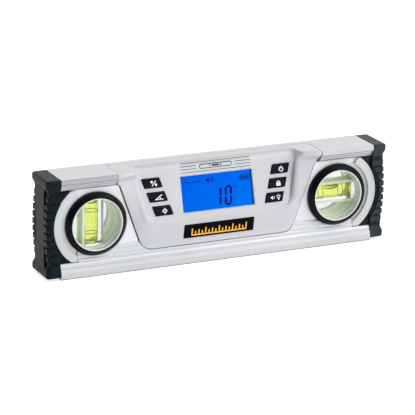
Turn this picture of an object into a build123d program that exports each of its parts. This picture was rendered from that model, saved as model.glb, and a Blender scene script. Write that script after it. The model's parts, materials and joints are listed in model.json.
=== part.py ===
from build123d import *
import math
import os

os.makedirs("parts", exist_ok=True)

# ---------------------------------------------------------------- driving dimensions (mm)
# Frame: X along the level, -Y is the front (display side), Z up, z = 0 on the lower measuring face.
LEN = 250.0            # over the end caps
RAIL_LEN = 229.4       # extruded rail
HEIGHT = 68.4
DEPTH = 28.3
HX = RAIL_LEN / 2
HY = DEPTH / 2
EX = LEN / 2
GAP = 0.2              # butt gap between rail and caps

WEB_T = 1.5            # half thickness of the rail's centre web
TOP_UNDER = 59.6       # underside of the top flange
BOT_TOP = 10.4         # top of the bottom flange at the rail ends
SLOPE_TOP = 18.4       # top of the ridged shoulder
SHOULDER_END = 101.8   # where the shoulder stops under the crescent

VIAL_X = 89.0          # vial centres
VIAL_Z = 35.2
RING_RO = 21.6         # black bezel ring
RING_RI = 18.2
RING_FACE = 14.05      # distance of the ring's crest from mid plane
RING_BASE = 11.2       # where its outer cone starts
RING_CREST = 19.1      # outer radius of the crest
COVER_FACE = 8.8       # face of the vial cover plate
COVER_T = 1.6
LIP_FACE = 11.2        # raised crescent
LIP_RO = 30.1
LIP_RI = 24.3
LIP_ARC = 57.5         # half angle of the crescent
BORE_R = 16.7          # inside of the vial carrier
LINER_R = 19.4
COLLAR_RI = 17.25
COLLAR_RO = 17.95
COLLAR_FACE = 13.5      # front of the white collar inside the ring
LENS_R = 17.2
BLOCK_W = 11.6         # clear vial block, square section
BLOCK_L = 35.0
CHAMBER_R = 4.8
CHAMBER_L = 31.2

PANEL_Y0 = -8.24       # a point of the tilted display panel
PANEL_Z0 = 47.2
PANEL_SLOPE = 0.281    # dy/dz of the panel
CREASE_Z = 31.2        # crease between panel and lower apron
APRON_SLOPE = 0.16
RIDGE_SLOPE = 0.176    # dy/dz of the ridge beside the panel
MOD_BOT = 12.8
MOD_TOP_HX = 75.0
WALL = 2.0
REAR_FACE = 12.0       # back face of the rear housing
REAR_WALL = 1.6
REAR_TOP = 59.2
REAR_STRIP_Y = 7.6     # rear strip of the top flange that runs through

LCD_HX = 26.2          # visible display
LCD_S0, LCD_S1 = -12.0, 11.85
KEY_W, KEY_H = 12.65, 6.15
KEY_SHEAR = 0.3
KEY_PROUD = 0.8
KEY_TRAVEL = 0.5
KEY_GAP = 0.2
KEYS = [(47.3, 10.05), (44.4, 0.62), (41.3, -8.85)]   # |x|, s of the key centres

CELL_R = 5.25
CELL_BODY = 43.5
CELL_Y = 4.9
CELL_Z = [22.4, 33.8]
DOOR_HX = 30.7
DOOR_Z0 = 16.2
DOOR_AXIS = (10.7, 42.0)   # y, z of the door's trunnions
DOOR_R = 1.3


# ---------------------------------------------------------------- helpers
def bx(x0, x1, y0, y1, z0, z1):
    return Pos((x0 + x1) / 2, (y0 + y1) / 2, (z0 + z1) / 2) * Box(x1 - x0, y1 - y0, z1 - z0)


def cyl_y(cx, cz, r, y0, y1):
    return Pos(cx, (y0 + y1) / 2, cz) * Rot(90, 0, 0) * Cylinder(r, y1 - y0)


def cyl_x(cy, cz, r, x0, x1):
    return Pos((x0 + x1) / 2, cy, cz) * Rot(0, 90, 0) * Cylinder(r, x1 - x0)


def cyl_z(cx, cy, r, z0, z1):
    return Pos(cx, cy, (z0 + z1) / 2) * Cylinder(r, z1 - z0)


def prism_xz(pts, y0, y1):
    pl = Plane(origin=(0, y1, 0), x_dir=(1, 0, 0), z_dir=(0, -1, 0))
    return extrude(pl * make_face(Polyline(*pts, close=True)), amount=y1 - y0, dir=(0, -1, 0))


def prism_yz(pts, x0, x1):
    pl = Plane(origin=(x0, 0, 0), x_dir=(0, 1, 0), z_dir=(1, 0, 0))
    return extrude(pl * make_face(Polyline(*pts, close=True)), amount=x1 - x0, dir=(1, 0, 0))


def prism_xy(pts, z0, z1):
    pl = Plane(origin=(0, 0, z0), x_dir=(1, 0, 0), z_dir=(0, 0, 1))
    return extrude(pl * make_face(Polyline(*pts, close=True)), amount=z1 - z0, dir=(0, 0, 1))


# panel frame: local x = X, local y = s (up the panel), local z = outwards
_n = math.hypot(1.0, PANEL_SLOPE)
PANEL = Plane(origin=(0, PANEL_Y0, PANEL_Z0), x_dir=(1, 0, 0),
              z_dir=(0, -1.0 / _n, PANEL_SLOPE / _n))


def pbox(x0, x1, s0, s1, t0, t1):
    return PANEL * Pos((x0 + x1) / 2, (s0 + s1) / 2, -(t0 + t1) / 2) * Box(x1 - x0, s1 - s0, t1 - t0)


def pcyl(x, s, r, t0, t1):
    return PANEL * Pos(x, s, -(t0 + t1) / 2) * Cylinder(r, t1 - t0)


def pprism(pts, t0, t1):
    base = PANEL * Pos(0, 0, -t1) * make_face(Polyline(*pts, close=True))
    return extrude(base, amount=t1 - t0, dir=PANEL.z_dir)


def flip_x(p):
    return mirror(p, about=Plane.YZ)


def flip_y(p):
    return mirror(p, about=Plane.XZ)


def solids_of(p):
    return list(p.solids()) if hasattr(p, "solids") else [p]


NODES = {}


def put(name, *parts):
    sol = []
    for p in parts:
        sol += solids_of(p)
    NODES[name] = sol


# ---------------------------------------------------------------- module outline
def x_edge(z):
    return 57.0 + (z - 18.5) * 0.365


def x_ridge(z):
    return 51.0 + (z - 31.5) * 0.265


Y_CREASE = PANEL_Y0 + (CREASE_Z - PANEL_Z0) * PANEL_SLOPE


def y_panel(z):
    return PANEL_Y0 + (z - PANEL_Z0) * PANEL_SLOPE if z >= CREASE_Z else Y_CREASE + (CREASE_Z - z) * APRON_SLOPE


def y_ridge(z):
    return Y_CREASE + (z - CREASE_Z) * RIDGE_SLOPE if z >= CREASE_Z else Y_CREASE + (CREASE_Z - z) * APRON_SLOPE


def outline(grow, z0, z1, y0, y1, corner):
    """Trapezium of the module seen from the front, rounded at its lower corners."""
    a, b = x_edge(z0) + grow, x_edge(z1) + grow
    p = prism_xz([(-a, z0), (a, z0), (b, z1), (-b, z1)], y0, y1)
    low = [e for e in p.edges().filter_by(Axis.Y) if abs(e.center().Z - z0) < 0.01]
    return fillet(low, corner)


# ---------------------------------------------------------------- rail
low_front = [(-13.35, 0), (-HY, 0.8), (-HY, 4.7), (-13.35, 6.9), (-12.8, 7.25), (-12.75, 7.6),
             (-12.55, 9.0), (-11.9, 9.9), (-11.5, 10.3), (-11.35, 12.0), (-10.75, 12.6), (-10.55, 13.9),
             (-9.95, 15.3), (-9.75, 15.7), (-9.55, 16.9), (-8.95, 18.0), (-COVER_FACE, SLOPE_TOP)]
low_prof = low_front + [(-y, z) for y, z in reversed(low_front)]
top_front = [(-8.6, TOP_UNDER), (-10.2, TOP_UNDER + 0.3), (-11.4, 61.2), (-11.9, 62.5), (-12.5, 62.75),
             (-13.0, 64.1), (-13.6, 64.4), (-HY, 64.75), (-HY, HEIGHT - 0.6), (-HY + 0.6, HEIGHT)]
top_prof = top_front + [(-y, z) for y, z in reversed(top_front)]

rail = prism_yz(low_prof, -HX, HX)
rail += prism_yz(top_prof, -HX, HX)
rail += bx(-HX, HX, -WEB_T, WEB_T, SLOPE_TOP - 1, TOP_UNDER + 1)
# hollow chambers of the lower flange
ch_low = [(-11.8, 2.2), (11.8, 2.2), (11.8, 4.6), (10.2, 8.2), (-10.2, 8.2), (-11.8, 4.6)]
rail -= prism_yz(ch_low, -HX - 1, HX + 1)
for sg in (-1, 1):
    rail -= prism_yz([(sg * 2.2, 12.4), (sg * 8.1, 12.4), (sg * 7.2, 16.4), (sg * 2.2, 16.4)], -HX - 1, HX + 1)
# shoulder cut away round the vial covers and cap tongues
for sx in (-1, 1):
    for sy in (-1, 1):
        x0, x1 = sorted((sx * SHOULDER_END, sx * (HX + 1)))
        y0, y1 = sorted((sy * WEB_T, sy * (HY + 1)))
        rail -= bx(x0, x1, y0, y1, BOT_TOP, SLOPE_TOP + 0.05)
    rail -= cyl_y(sx * VIAL_X, VIAL_Z, RING_RO + 0.2, -HY, HY)
# seat of the display module: notch in the top flange, pocket in the shoulder, window in the web
rail -= bx(-MOD_TOP_HX - 0.2, MOD_TOP_HX + 0.2, -HY - 1, REAR_STRIP_Y, TOP_UNDER - 0.3, HEIGHT + 1)
rail -= outline(0.3, MOD_BOT - 0.3, TOP_UNDER, -HY - 1, -WEB_T, 9.3)
rail -= outline(0.3, MOD_BOT - 0.3, TOP_UNDER, WEB_T, HY + 1, 9.3) - bx(-80, 80, REAR_STRIP_Y - 3, HY + 2, TOP_UNDER - 0.05, 70)
rail -= outline(-3.2, 15.6, TOP_UNDER, -4, 4, 5.0)
# locating holes for the cover pins
PINS = [(76.0, 54.6), (64.2, 23.6)]
for sx in (-1, 1):
    for px, pz in PINS:
        rail -= cyl_y(sx * px, pz, 1.6, -4, 4)
# magnet holes in the base
MAG_X = [-95.0, -35.0, 35.0, 95.0]
for mx in MAG_X:
    rail -= cyl_z(mx, 0, 5.0, -1, 2.6)
put("rail", rail)
put("base_magnets", *[fillet(cyl_z(mx, 0, 4.98, 0.15, 3.2).edges().filter_by(GeomType.CIRCLE), 0.3) for mx in MAG_X])

# ---------------------------------------------------------------- end caps
CAP_X0 = HX + GAP
CAP_FOOT = 1.6                         # the caps stay clear of the lower measuring face
LIP_TOP_Z, LIP_BOT_Z = 64.2, 6.0       # where the lips start to draw in towards the waist
LIP_DRAFT = 1.7
PANEL_X = EX - 0.5                     # end panel between the lips
RIB_N, RIB_PITCH, RIB_H = 9, 5.0, 3.9


def lip_face(inset, z):
    """Plan of a cap lip: square at the rail, rounded at the outer corners, drawn in by the inset."""
    x1, h, r = EX - inset, HY - inset * 0.8, 2.2
    edge = [Line((CAP_X0, -h), (x1 - r, -h)), RadiusArc((x1 - r, -h), (x1, -h + r), -r),
            Line((x1, -h + r), (x1, h - r)), RadiusArc((x1, h - r), (x1 - r, h), -r),
            Line((x1 - r, h), (CAP_X0, h)), Line((CAP_X0, h), (CAP_X0, -h))]
    return Pos(0, 0, z) * make_face(edge)


def cap_solid():
    top = extrude(lip_face(0, LIP_TOP_Z), amount=HEIGHT - LIP_TOP_Z, dir=(0, 0, 1))
    top = fillet([e for e in top.edges() if e.center().Z > HEIGHT - 0.05 and e.center().X > CAP_X0 + 0.1], 1.6)
    top += loft([lip_face(LIP_DRAFT, TOP_UNDER + 0.2), lip_face(0, LIP_TOP_Z)], ruled=True)
    bot = extrude(lip_face(0, CAP_FOOT), amount=LIP_BOT_Z - CAP_FOOT, dir=(0, 0, 1))
    bot = fillet([e for e in bot.edges() if e.center().Z < CAP_FOOT + 0.05 and e.center().X > CAP_X0 + 0.1], 1.6)
    bot += loft([lip_face(0, LIP_BOT_Z), lip_face(LIP_DRAFT, BOT_TOP - 0.2)], ruled=True)
    core = bx(CAP_X0, EX - 1.9, -12.5, 12.5, BOT_TOP - 1.5, TOP_UNDER + 1.5)
    panel = bx(CAP_X0, PANEL_X, -7.4, 7.4, LIP_BOT_Z - 0.5, LIP_TOP_Z + 0.5)
    # the end panel widens into the lips
    flare = [(-7.4, 58.0), (-7.8, 60.2), (-8.9, 61.9), (-11.5, LIP_TOP_Z + 0.1)]
    flare += [(-y, z) for y, z in reversed(flare)]
    panel += prism_yz(flare, EX - 4.0, PANEL_X)
    low = [(-7.4, 12.0), (-7.8, 9.9), (-8.9, 8.2), (-11.5, LIP_BOT_Z - 0.1)]
    low += [(-y, z) for y, z in reversed(low)]
    panel += prism_yz(low, EX - 4.0, PANEL_X)
    cap = top + bot + core + panel
    # ribbed corner grips, front and rear
    z_first = (BOT_TOP + TOP_UNDER) / 2 - RIB_PITCH * (RIB_N - 1) / 2
    for sy in (-1, 1):
        for i in range(RIB_N):
            zc = z_first + i * RIB_PITCH
            fall = ((2 * i - RIB_N + 1) / (RIB_N - 1)) ** 2          # the row of ribs is bowed
            xo, yo = EX - 0.15 - 1.1 * fall, 13.6 - 0.4 * fall
            rib = bx(CAP_X0, xo, *sorted((sy * 8.3, sy * yo)), zc - RIB_H / 2, zc + RIB_H / 2)
            rib = fillet([e for e in rib.edges().filter_by(Axis.Z)
                          if e.center().X > xo - 0.1 and abs(e.center().Y) > yo - 0.1], 1.3)
            out = [e for e in rib.edges() if abs(abs(e.center().Z - zc) - RIB_H / 2) < 0.01
                   and (e.center().X > xo - 0.8 or abs(e.center().Y) > yo - 0.5)
                   and abs(e.center().Y) > 8.4 and e.center().X > CAP_X0 + 0.1]
            cap += fillet(out, 0.6) - cyl_y(VIAL_X, VIAL_Z, LIP_RO + 1.8, -16, 16)
    # tongues that fill the channels up to the vial cover
    for sy in (-1, 1):
        cap += bx(96.0, CAP_X0 + 1, *sorted((sy * 1.8, sy * 10.8)), BOT_TOP + 0.3, TOP_UNDER - 0.3)
    cap -= cyl_y(VIAL_X, VIAL_Z, LIP_RO + 0.3, -16, 16)
    # plug in the hollow chamber of the rail
    plug = [(-11.6, 2.4), (11.6, 2.4), (11.6, 4.5), (10.05, 8.0), (-10.05, 8.0), (-11.6, 4.5)]
    cap += prism_yz(plug, CAP_X0 - 13, CAP_X0 + 0.5) - prism_yz(
        [(-9.6, 4.2), (9.6, 4.2), (8.6, 6.4), (-8.6, 6.4)], CAP_X0 - 14, CAP_X0 - 1)
    return cap


cap_r = cap_solid()
put("end_cap_right", cap_r)
put("end_cap_left", flip_x(cap_r))


# ---------------------------------------------------------------- vial covers, rings, lenses
def cover_solid():
    a = prism_xz([(x_edge(SLOPE_TOP + 0.1) + 0.55, SLOPE_TOP + 0.1), (VIAL_X + 0.05, SLOPE_TOP + 0.1),
                  (VIAL_X + 0.05, TOP_UNDER - 0.2), (x_edge(TOP_UNDER - 0.2) + 0.55, TOP_UNDER - 0.2)],
                 -COVER_FACE, -COVER_FACE + COVER_T)
    clip = bx(VIAL_X + 0.05, 130, -20, 0, SLOPE_TOP + 0.1, TOP_UNDER - 0.2)
    clip += bx(SHOULDER_END + 0.2, 130, -20, 0, BOT_TOP + 0.2, SLOPE_TOP + 1)
    b = cyl_y(VIAL_X, VIAL_Z, LIP_RO, -COVER_FACE, -COVER_FACE + COVER_T) & clip
    ca, sa = math.cos(math.radians(LIP_ARC)), math.sin(math.radians(LIP_ARC))
    sector = prism_xz([(SHOULDER_END + 0.2, VIAL_Z), (SHOULDER_END + 0.2, 0), (VIAL_X + 60, 0),
                       (VIAL_X + 60, VIAL_Z + 60 * sa), (VIAL_X + 60 * ca, VIAL_Z + 60 * sa), (VIAL_X + 20 * ca, VIAL_Z + 20 * sa)], -20, 0)
    lip = (cyl_y(VIAL_X, VIAL_Z, LIP_RO, -LIP_FACE, -COVER_FACE + 0.4)
           - cyl_y(VIAL_X, VIAL_Z, LIP_RI, -LIP_FACE - 1, 0)) & sector & clip
    lip = fillet([e for e in lip.edges() if abs(e.center().Y + LIP_FACE) < 0.01], 0.45)
    wall = (cyl_y(VIAL_X, VIAL_Z, LIP_RO, -COVER_FACE + 0.2, -WEB_T - 0.05)
            - cyl_y(VIAL_X, VIAL_Z, LIP_RO - 2.0, -20, 0)) & sector & clip
    c = a + b + lip + wall
    c -= cyl_y(VIAL_X, VIAL_Z, LINER_R + 0.2, -20, 0)
    for px, pz in PINS:
        c += cyl_y(px, pz, 2.4, -COVER_FACE + 0.8, -WEB_T - 0.02)
        c += cyl_y(px, pz, 1.5, -WEB_T - 0.5, -0.15)
    return c


cover = cover_solid()
ring = cyl_y(VIAL_X, VIAL_Z, RING_RO, -RING_BASE, -COVER_FACE)
ring += Pos(VIAL_X, -(RING_FACE + RING_BASE) / 2, VIAL_Z) * Rot(90, 0, 0) * Cone(RING_RO, RING_CREST, RING_FACE - RING_BASE)
ring -= cyl_y(VIAL_X, VIAL_Z, RING_RI, -20, 0)
ring = fillet([e for e in ring.edges() if abs(e.center().Y + RING_FACE) < 0.01], 0.35)
lens = cyl_y(VIAL_X, VIAL_Z, LENS_R, -9.95, -8.77)
lens = fillet([e for e in lens.edges() if abs(e.center().Y + 9.95) < 0.01], 0.25)
for nm, shape in (("vial_cover", cover), ("bezel_ring", ring), ("vial_lens", lens)):
    put(nm + "_front_right", shape)
    put(nm + "_front_left", flip_x(shape))
    put(nm + "_rear_right", flip_y(shape))
    put(nm + "_rear_left", flip_x(flip_y(shape)))


# ---------------------------------------------------------------- vials
# Built with the vial axis along local X at the origin (Y is the depth), then turned and placed.
def carrier_local():
    c = cyl_y(0, 0, LINER_R, -8.75, 8.75) - cyl_y(0, 0, BORE_R, -9, 9)
    for sy in (-1, 1):
        y0, y1 = sorted((sy * 8.6, sy * COLLAR_FACE))
        c += cyl_y(0, 0, COLLAR_RO, y0, y1) - cyl_y(0, 0, COLLAR_RI, y0 - 1, y1 + 1)
        # rails beside the block
        c += bx(-17.0, 17.0, -5.0, 5.0, *sorted((sy * (BLOCK_W / 2 + 0.15), sy * (BLOCK_W / 2 + 1.65)))) \
            & cyl_y(0, 0, LINER_R - 0.5, -6, 6)
    # pockets for the block ends, open to the rear
    for sx in (-1, 1):
        c -= bx(*sorted((sx * 14.0, sx * (BLOCK_L / 2 + 0.1))), -BLOCK_W / 2 - 0.1, 8.0,
                -BLOCK_W / 2 - 0.14, BLOCK_W / 2 + 0.14)
    return c


def block_local():
    b = fillet(bx(-BLOCK_L / 2, BLOCK_L / 2, -BLOCK_W / 2, BLOCK_W / 2, -BLOCK_W / 2, BLOCK_W / 2).edges(), 0.6)
    return b - cyl_x(0, 0, CHAMBER_R, -CHAMBER_L / 2, CHAMBER_L / 2)


def ellipsoid_x(a, b):
    return scale(Sphere(1.0), by=(a, b, b))


carrier = carrier_local()
block = block_local()
BUB_A, BUB_B, BUB_Z = 6.4, 3.5, 3.3      # level bubble: half length, radius, height above the vial axis
bubble_r = (Pos(0, 0, BUB_Z) * ellipsoid_x(BUB_A, BUB_B)) & cyl_x(0, 0, CHAMBER_R - 0.12, -10, 10)
liquid_r = cyl_x(0, 0, CHAMBER_R - 0.01, -CHAMBER_L / 2 + 0.01, CHAMBER_L / 2 - 0.01) \
    - Pos(0, 0, BUB_Z) * ellipsoid_x(BUB_A + 0.08, BUB_B + 0.08)
PLUMB_H = 3.6                            # plumb bubble: height of the air space at the top end
bubble_l = cyl_x(0, 0, CHAMBER_R - 0.15, CHAMBER_L / 2 - PLUMB_H, CHAMBER_L / 2 - 0.15)
bubble_l = fillet([e for e in bubble_l.edges().filter_by(GeomType.CIRCLE) if e.center().X < CHAMBER_L / 2 - 1], 2.2)
air_l = cyl_x(0, 0, CHAMBER_R - 0.05, CHAMBER_L / 2 - PLUMB_H - 0.08, CHAMBER_L / 2 + 1)
air_l = fillet([e for e in air_l.edges().filter_by(GeomType.CIRCLE) if e.center().X < CHAMBER_L / 2], 2.2)
liquid_l = cyl_x(0, 0, CHAMBER_R - 0.01, -CHAMBER_L / 2 + 0.01, CHAMBER_L / 2 - PLUMB_H + 2.4) - air_l

right = Pos(VIAL_X, 0, VIAL_Z)
left = Pos(-VIAL_X, 0, VIAL_Z) * Rot(0, -90, 0)      # local +X becomes +Z
for side, loc, liq, bub in (("right", right, liquid_r, bubble_r), ("left", left, liquid_l, bubble_l)):
    put("vial_carrier_" + side, loc * carrier)
    put("vial_tube_" + side, loc * block)
    put("vial_liquid_" + side, loc * liq)
    put("vial_bubble_" + side, loc * bub)


# ---------------------------------------------------------------- front housing
def hump(dx, dy, z_list, back):
    """Ruled body of the display hump through sections (z, y of the side edge); dx shrinks its
    width and dy moves its front faces back."""
    secs = []
    for z, y_side in z_list:
        xe = min(x_edge(z), MOD_TOP_HX) - dx
        ye = y_side + dy
        xr = x_ridge(z) - dx * 0.3
        yr = y_ridge(z) + dy
        yp = y_panel(z) + dy
        right_side = [(xe, back), (xe, ye), (xr, yr), (xr - 0.6, yp if z > CREASE_Z else yr)]
        pts = right_side + [(-x, y) for x, y in reversed(right_side)]
        secs.append(Pos(0, 0, z) * make_face(Polyline(*pts, close=True)))
    return loft(secs, ruled=True)


SIDE_Y, SHOULDER_Y = -9.8, -13.9          # edge of the flanks, and of the shoulders at the top flange
body = hump(0, 0, [(MOD_BOT, SIDE_Y), (CREASE_Z, SIDE_Y), (59.5, SIDE_Y), (60.6, SHOULDER_Y), (HEIGHT, SHOULDER_Y)],
            -WEB_T - 0.1)
body = body & outline(0.0, MOD_BOT, HEIGHT + 0.01, -20, 0, 9.0)
inner = hump(2.2, WALL, [(MOD_BOT + 2.2, SIDE_Y), (CREASE_Z, SIDE_Y), (61.8, SIDE_Y), (63.2, SHOULDER_Y),
                         (HEIGHT - 2.2, SHOULDER_Y)], 0.5) \
    & outline(-2.2, MOD_BOT + 2.2, HEIGHT - 2.2, -20, 2, 7.0)
body += bx(-MOD_TOP_HX, MOD_TOP_HX, -WEB_T - 0.5, REAR_STRIP_Y - 0.2, TOP_UNDER + 0.2, HEIGHT)
body -= inner
body -= bx(-MOD_TOP_HX + 2.2, MOD_TOP_HX - 2.2, -3.0, REAR_STRIP_Y - 2.2, TOP_UNDER - 1, HEIGHT - 2.2)
# screw bosses (housing) and board posts
SCREWS = [(62.0, 52.0), (49.0, 20.0)]
keep = hump(0.8, 0.8, [(MOD_BOT + 0.8, SIDE_Y), (CREASE_Z, SIDE_Y), (HEIGHT - 0.8, SIDE_Y)], 1.0)
for sx in (-1, 1):
    for px, pz in SCREWS:
        body += cyl_y(sx * px, pz, 3.0, -14, -0.05) & keep
        body -= cyl_y(sx * px, pz, 1.25, -6.6, 1)
POSTS = [(31.5, 11.0), (30.8, -14.5)]
for sx in (-1, 1):
    for px, ps in POSTS:
        body += pcyl(sx * px, ps, 2.2, 1.2, 5.9)
        body -= pcyl(sx * px, ps, 0.95, 2.4, 7)
# display opening with a rebate for the window behind it
body -= pbox(-LCD_HX - 0.1, LCD_HX + 0.1, LCD_S0 - 0.1, LCD_S1 + 0.1, -1, 3.5)
body -= pbox(-28.2, 28.2, -14.2, 14.2, 1.0, 3.5)


# ---------------------------------------------------------------- keys
def key_pts(cx, cs, sgn, grow):
    """Leaning parallelogram, mirrored on the right-hand side."""
    w, h = KEY_W / 2 + grow, KEY_H / 2 + grow
    sh = KEY_SHEAR * sgn
    return [(cx - w + sh * h, cs + h), (cx + w + sh * h, cs + h), (cx + w - sh * h, cs - h), (cx - w - sh * h, cs - h)]


KEY_NAMES = {("L", 0): "unit", ("L", 1): "reference", ("L", 2): "calibrate",
             ("R", 0): "power", ("R", 1): "hold", ("R", 2): "sound"}
switch_bodies = []
for side, sgn in (("L", -1), ("R", 1)):
    for i, (kx, ks) in enumerate(KEYS):
        cx = sgn * kx
        body -= pprism(key_pts(cx, ks, sgn, KEY_GAP), -2, 3.5)
        cap_ = pprism(key_pts(cx, ks, sgn, 0), -KEY_PROUD, 2.4)
        topf = cap_.faces().sort_by(lambda f: f.center().dot(PANEL.z_dir))[-1]
        cap_ = fillet([e for e in cap_.edges() if abs(abs((e.center() - PANEL.origin).dot(PANEL.z_dir)) - KEY_PROUD) < 0.01
                       and (e.center() - PANEL.origin).dot(PANEL.z_dir) > 0], 0.3)
        key = cap_ + pprism(key_pts(cx, ks, sgn, 0.7), 2.1, 2.9) + pcyl(cx, ks, 1.4, 2.8, 3.7)
        nm = KEY_NAMES[(side, i)]
        put("key_" + nm, key)
        put("plunger_" + nm, pcyl(cx, ks, 1.2, 3.7, 5.0))
        switch_bodies.append(pbox(cx - 2.25, cx + 2.25, ks - 2.25, ks + 2.25, 4.3, 5.9) - pcyl(cx, ks, 1.3, 4, 5.7))
put("tact_switches", *switch_bodies)

# plate below the display, in a shallow pocket of the apron
_m = math.hypot(1.0, APRON_SLOPE)
APRON = Plane(origin=(0, y_panel(22.15), 22.15), x_dir=(1, 0, 0), z_dir=(0, -1.0 / _m, -APRON_SLOPE / _m))
plate = APRON * Pos(0, 0, -0.1) * Box(51.4, 9.6, 1.0)
plate = fillet(plate.edges().filter_by(lambda e: abs(e.tangent_at(0.5).dot(APRON.z_dir)) > 0.99), 0.5)
body -= APRON * Pos(0, 0, 0.4) * Box(51.7, 9.9, 2.0)
put("badge_plate", plate)
put("front_housing", body)

# ---------------------------------------------------------------- display stack
put("display_window", pbox(-28.0, 28.0, -14.0, 14.0, 1.0, 2.0))
put("lcd_panel", pbox(-28.0, 28.0, -14.6, 12.9, 2.1, 3.65))
put("lcd_backlight", pbox(-27.0, 27.0, -12.4, 12.6, 3.75, 5.75))
put("lcd_connector", pbox(-25.0, 25.0, -14.5, -12.9, 3.65, 5.9))
board = pbox(-52.0, 52.0, -16.3, 13.4, 5.9, 7.1)
board_screws = []
for sx in (-1, 1):
    for px, ps in POSTS:
        board -= pcyl(sx * px, ps, 1.1, 5, 8)
        sc = pcyl(sx * px, ps, 1.9, 7.1, 8.4) + pcyl(sx * px, ps, 0.9, 2.8, 7.2)
        sc -= pbox(sx * px - 1.3, sx * px + 1.3, ps - 0.25, ps + 0.25, 7.8, 9)
        sc -= pbox(sx * px - 0.25, sx * px + 0.25, ps - 1.3, ps + 1.3, 7.8, 9)
        board_screws.append(sc)
put("circuit_board", board)
put("board_screws", *board_screws)
put("microcontroller", pbox(-6, 6, -2, 10, 7.1, 8.3))
put("tilt_sensor", pbox(12, 18, 0, 6, 7.1, 8.7))
buz = pcyl(-20, 4.0, 5.5, 7.1, 11.0) - pcyl(-20, 4.0, 0.9, 9.5, 12)
put("buzzer", buz)

# ---------------------------------------------------------------- rear housing
rear = outline(0.0, MOD_BOT, REAR_TOP, WEB_T + 0.1, REAR_FACE, 9.0)
rim = [e for e in rear.faces().sort_by(Axis.Y)[-1].edges()]
rear = fillet(rim, 2.2)
rear -= outline(-2.2, MOD_BOT + 2.2, REAR_TOP - 2.0, 0, REAR_FACE - REAR_WALL, 7.0)
TRAY = (25.7, -0.6, 17.0, 39.2)            # half length, front, bottom, top of the battery space
rear += bx(-TRAY[0] - 1.2, TRAY[0] + 1.2, TRAY[1] - 1.0, REAR_FACE - 1.0, TRAY[2] - 1.1, TRAY[3] + 1.1)
rear -= bx(-TRAY[0], TRAY[0], TRAY[1], REAR_FACE + 1, TRAY[2], TRAY[3])
for sx in (-1, 1):
    for px, pz in SCREWS:
        rear += cyl_y(sx * px, pz, 3.4, 0.05, REAR_FACE - 1.0)
        rear -= cyl_y(sx * px, pz, 1.4, -1, REAR_FACE + 1)
        rear -= cyl_y(sx * px, pz, 2.9, REAR_FACE - 2.0, REAR_FACE + 1)
    # trunnion ears
    rear += bx(*sorted((sx * 31.0, sx * 34.2)), 8.9, REAR_FACE - 1.0, 40.2, 44.0)
# seating ledge round the door opening, tied to the rear wall and to the floor
ledge = bx(-33.0, 33.0, 9.1, REAR_FACE - REAR_WALL + 0.2, MOD_BOT + 2.0, TRAY[3] + 1.1)
ledge += bx(-TRAY[0] - 1.2, TRAY[0] + 1.2, WEB_T + 0.2, 9.3, MOD_BOT + 2.0, TRAY[2])
rear += ledge - bx(-TRAY[0], TRAY[0], -5, REAR_FACE, TRAY[2], TRAY[3])
# door opening
rear -= bx(-DOOR_HX - 0.3, DOOR_HX + 0.3, REAR_FACE - REAR_WALL - 0.05, REAR_FACE + 1, DOOR_Z0 - 0.3, DOOR_AXIS[1] + DOOR_R + 0.3)
rear -= bx(-DOOR_HX - 0.3, DOOR_HX + 0.3, DOOR_AXIS[0] - DOOR_R - 0.3, REAR_FACE + 1, TRAY[3] + 1.1, DOOR_AXIS[1] + DOOR_R + 0.3)
rear -= cyl_x(*DOOR_AXIS, 0.86, -33.0, 33.0)
# room for the upper edge of the board, slots for the contact tabs
rear -= bx(-54, 54, 0, 4.6, 55.5, 60)
for cz in CELL_Z:
    rear -= bx(-28, -TRAY[0] + 0.1, 3.2, 6.8, cz - 0.4, cz + 0.4)
put("rear_housing", rear)

# battery door: plate, hinge barrel with moulded trunnions, thumb ribs and a stiffening rib inside
door = bx(-DOOR_HX, DOOR_HX, REAR_FACE - REAR_WALL + 0.05, REAR_FACE, DOOR_Z0, DOOR_AXIS[1])
door = fillet([e for e in door.edges().filter_by(Axis.Y) if e.center().Z < DOOR_Z0 + 0.1], 2.0)
door += cyl_x(*DOOR_AXIS, DOOR_R, -DOOR_HX, DOOR_HX)
door += cyl_x(*DOOR_AXIS, 0.8, -DOOR_HX - 2.0, DOOR_HX + 2.0)
for i in range(4):
    zc = DOOR_Z0 + 2.6 + i * 1.5
    door -= bx(-9, 9, REAR_FACE - 0.5, REAR_FACE + 1, zc - 0.35, zc + 0.35)
put("battery_door", door)

screws = []
for sx in (-1, 1):
    for px, pz in SCREWS:
        s = cyl_y(sx * px, pz, 2.6, REAR_FACE - 2.0, REAR_FACE - 0.5) + cyl_y(sx * px, pz, 1.2, -6.0, REAR_FACE - 1.9)
        s -= bx(sx * px - 1.6, sx * px + 1.6, REAR_FACE - 1.4, REAR_FACE, pz - 0.3, pz + 0.3)
        s -= bx(sx * px - 0.3, sx * px + 0.3, REAR_FACE - 1.4, REAR_FACE, pz - 1.6, pz + 1.6)
        screws.append(s)
put("housing_screws", *screws)


# ---------------------------------------------------------------- batteries
def cell(sgn, cz):
    """AAA cell with its raised pole on the side sgn."""
    x0, x1 = sorted((sgn * 24.25, sgn * (24.25 - CELL_BODY)))
    b = fillet(cyl_x(CELL_Y, cz, CELL_R, x0, x1).edges().filter_by(GeomType.CIRCLE), 0.5)
    return b + cyl_x(CELL_Y, cz, 1.9, *sorted((sgn * 24.1, sgn * 25.25)))


put("battery_lower", cell(-1, CELL_Z[0]))
put("battery_upper", cell(1, CELL_Z[1]))


def spring(sgn, cz):
    """Coil between the flat pole and the contact plate."""
    length = 25.2 - 19.3
    h = Helix(pitch=1.45, height=length - 0.7, radius=2.7)
    prof = Plane(h @ 0, z_dir=h % 0) * Circle(0.32)
    coil = sweep(prof, path=h, is_frenet=True)
    return Pos(sgn * (19.3 + 0.35), CELL_Y, cz) * Rot(0, 90 * sgn, 0) * coil


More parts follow.
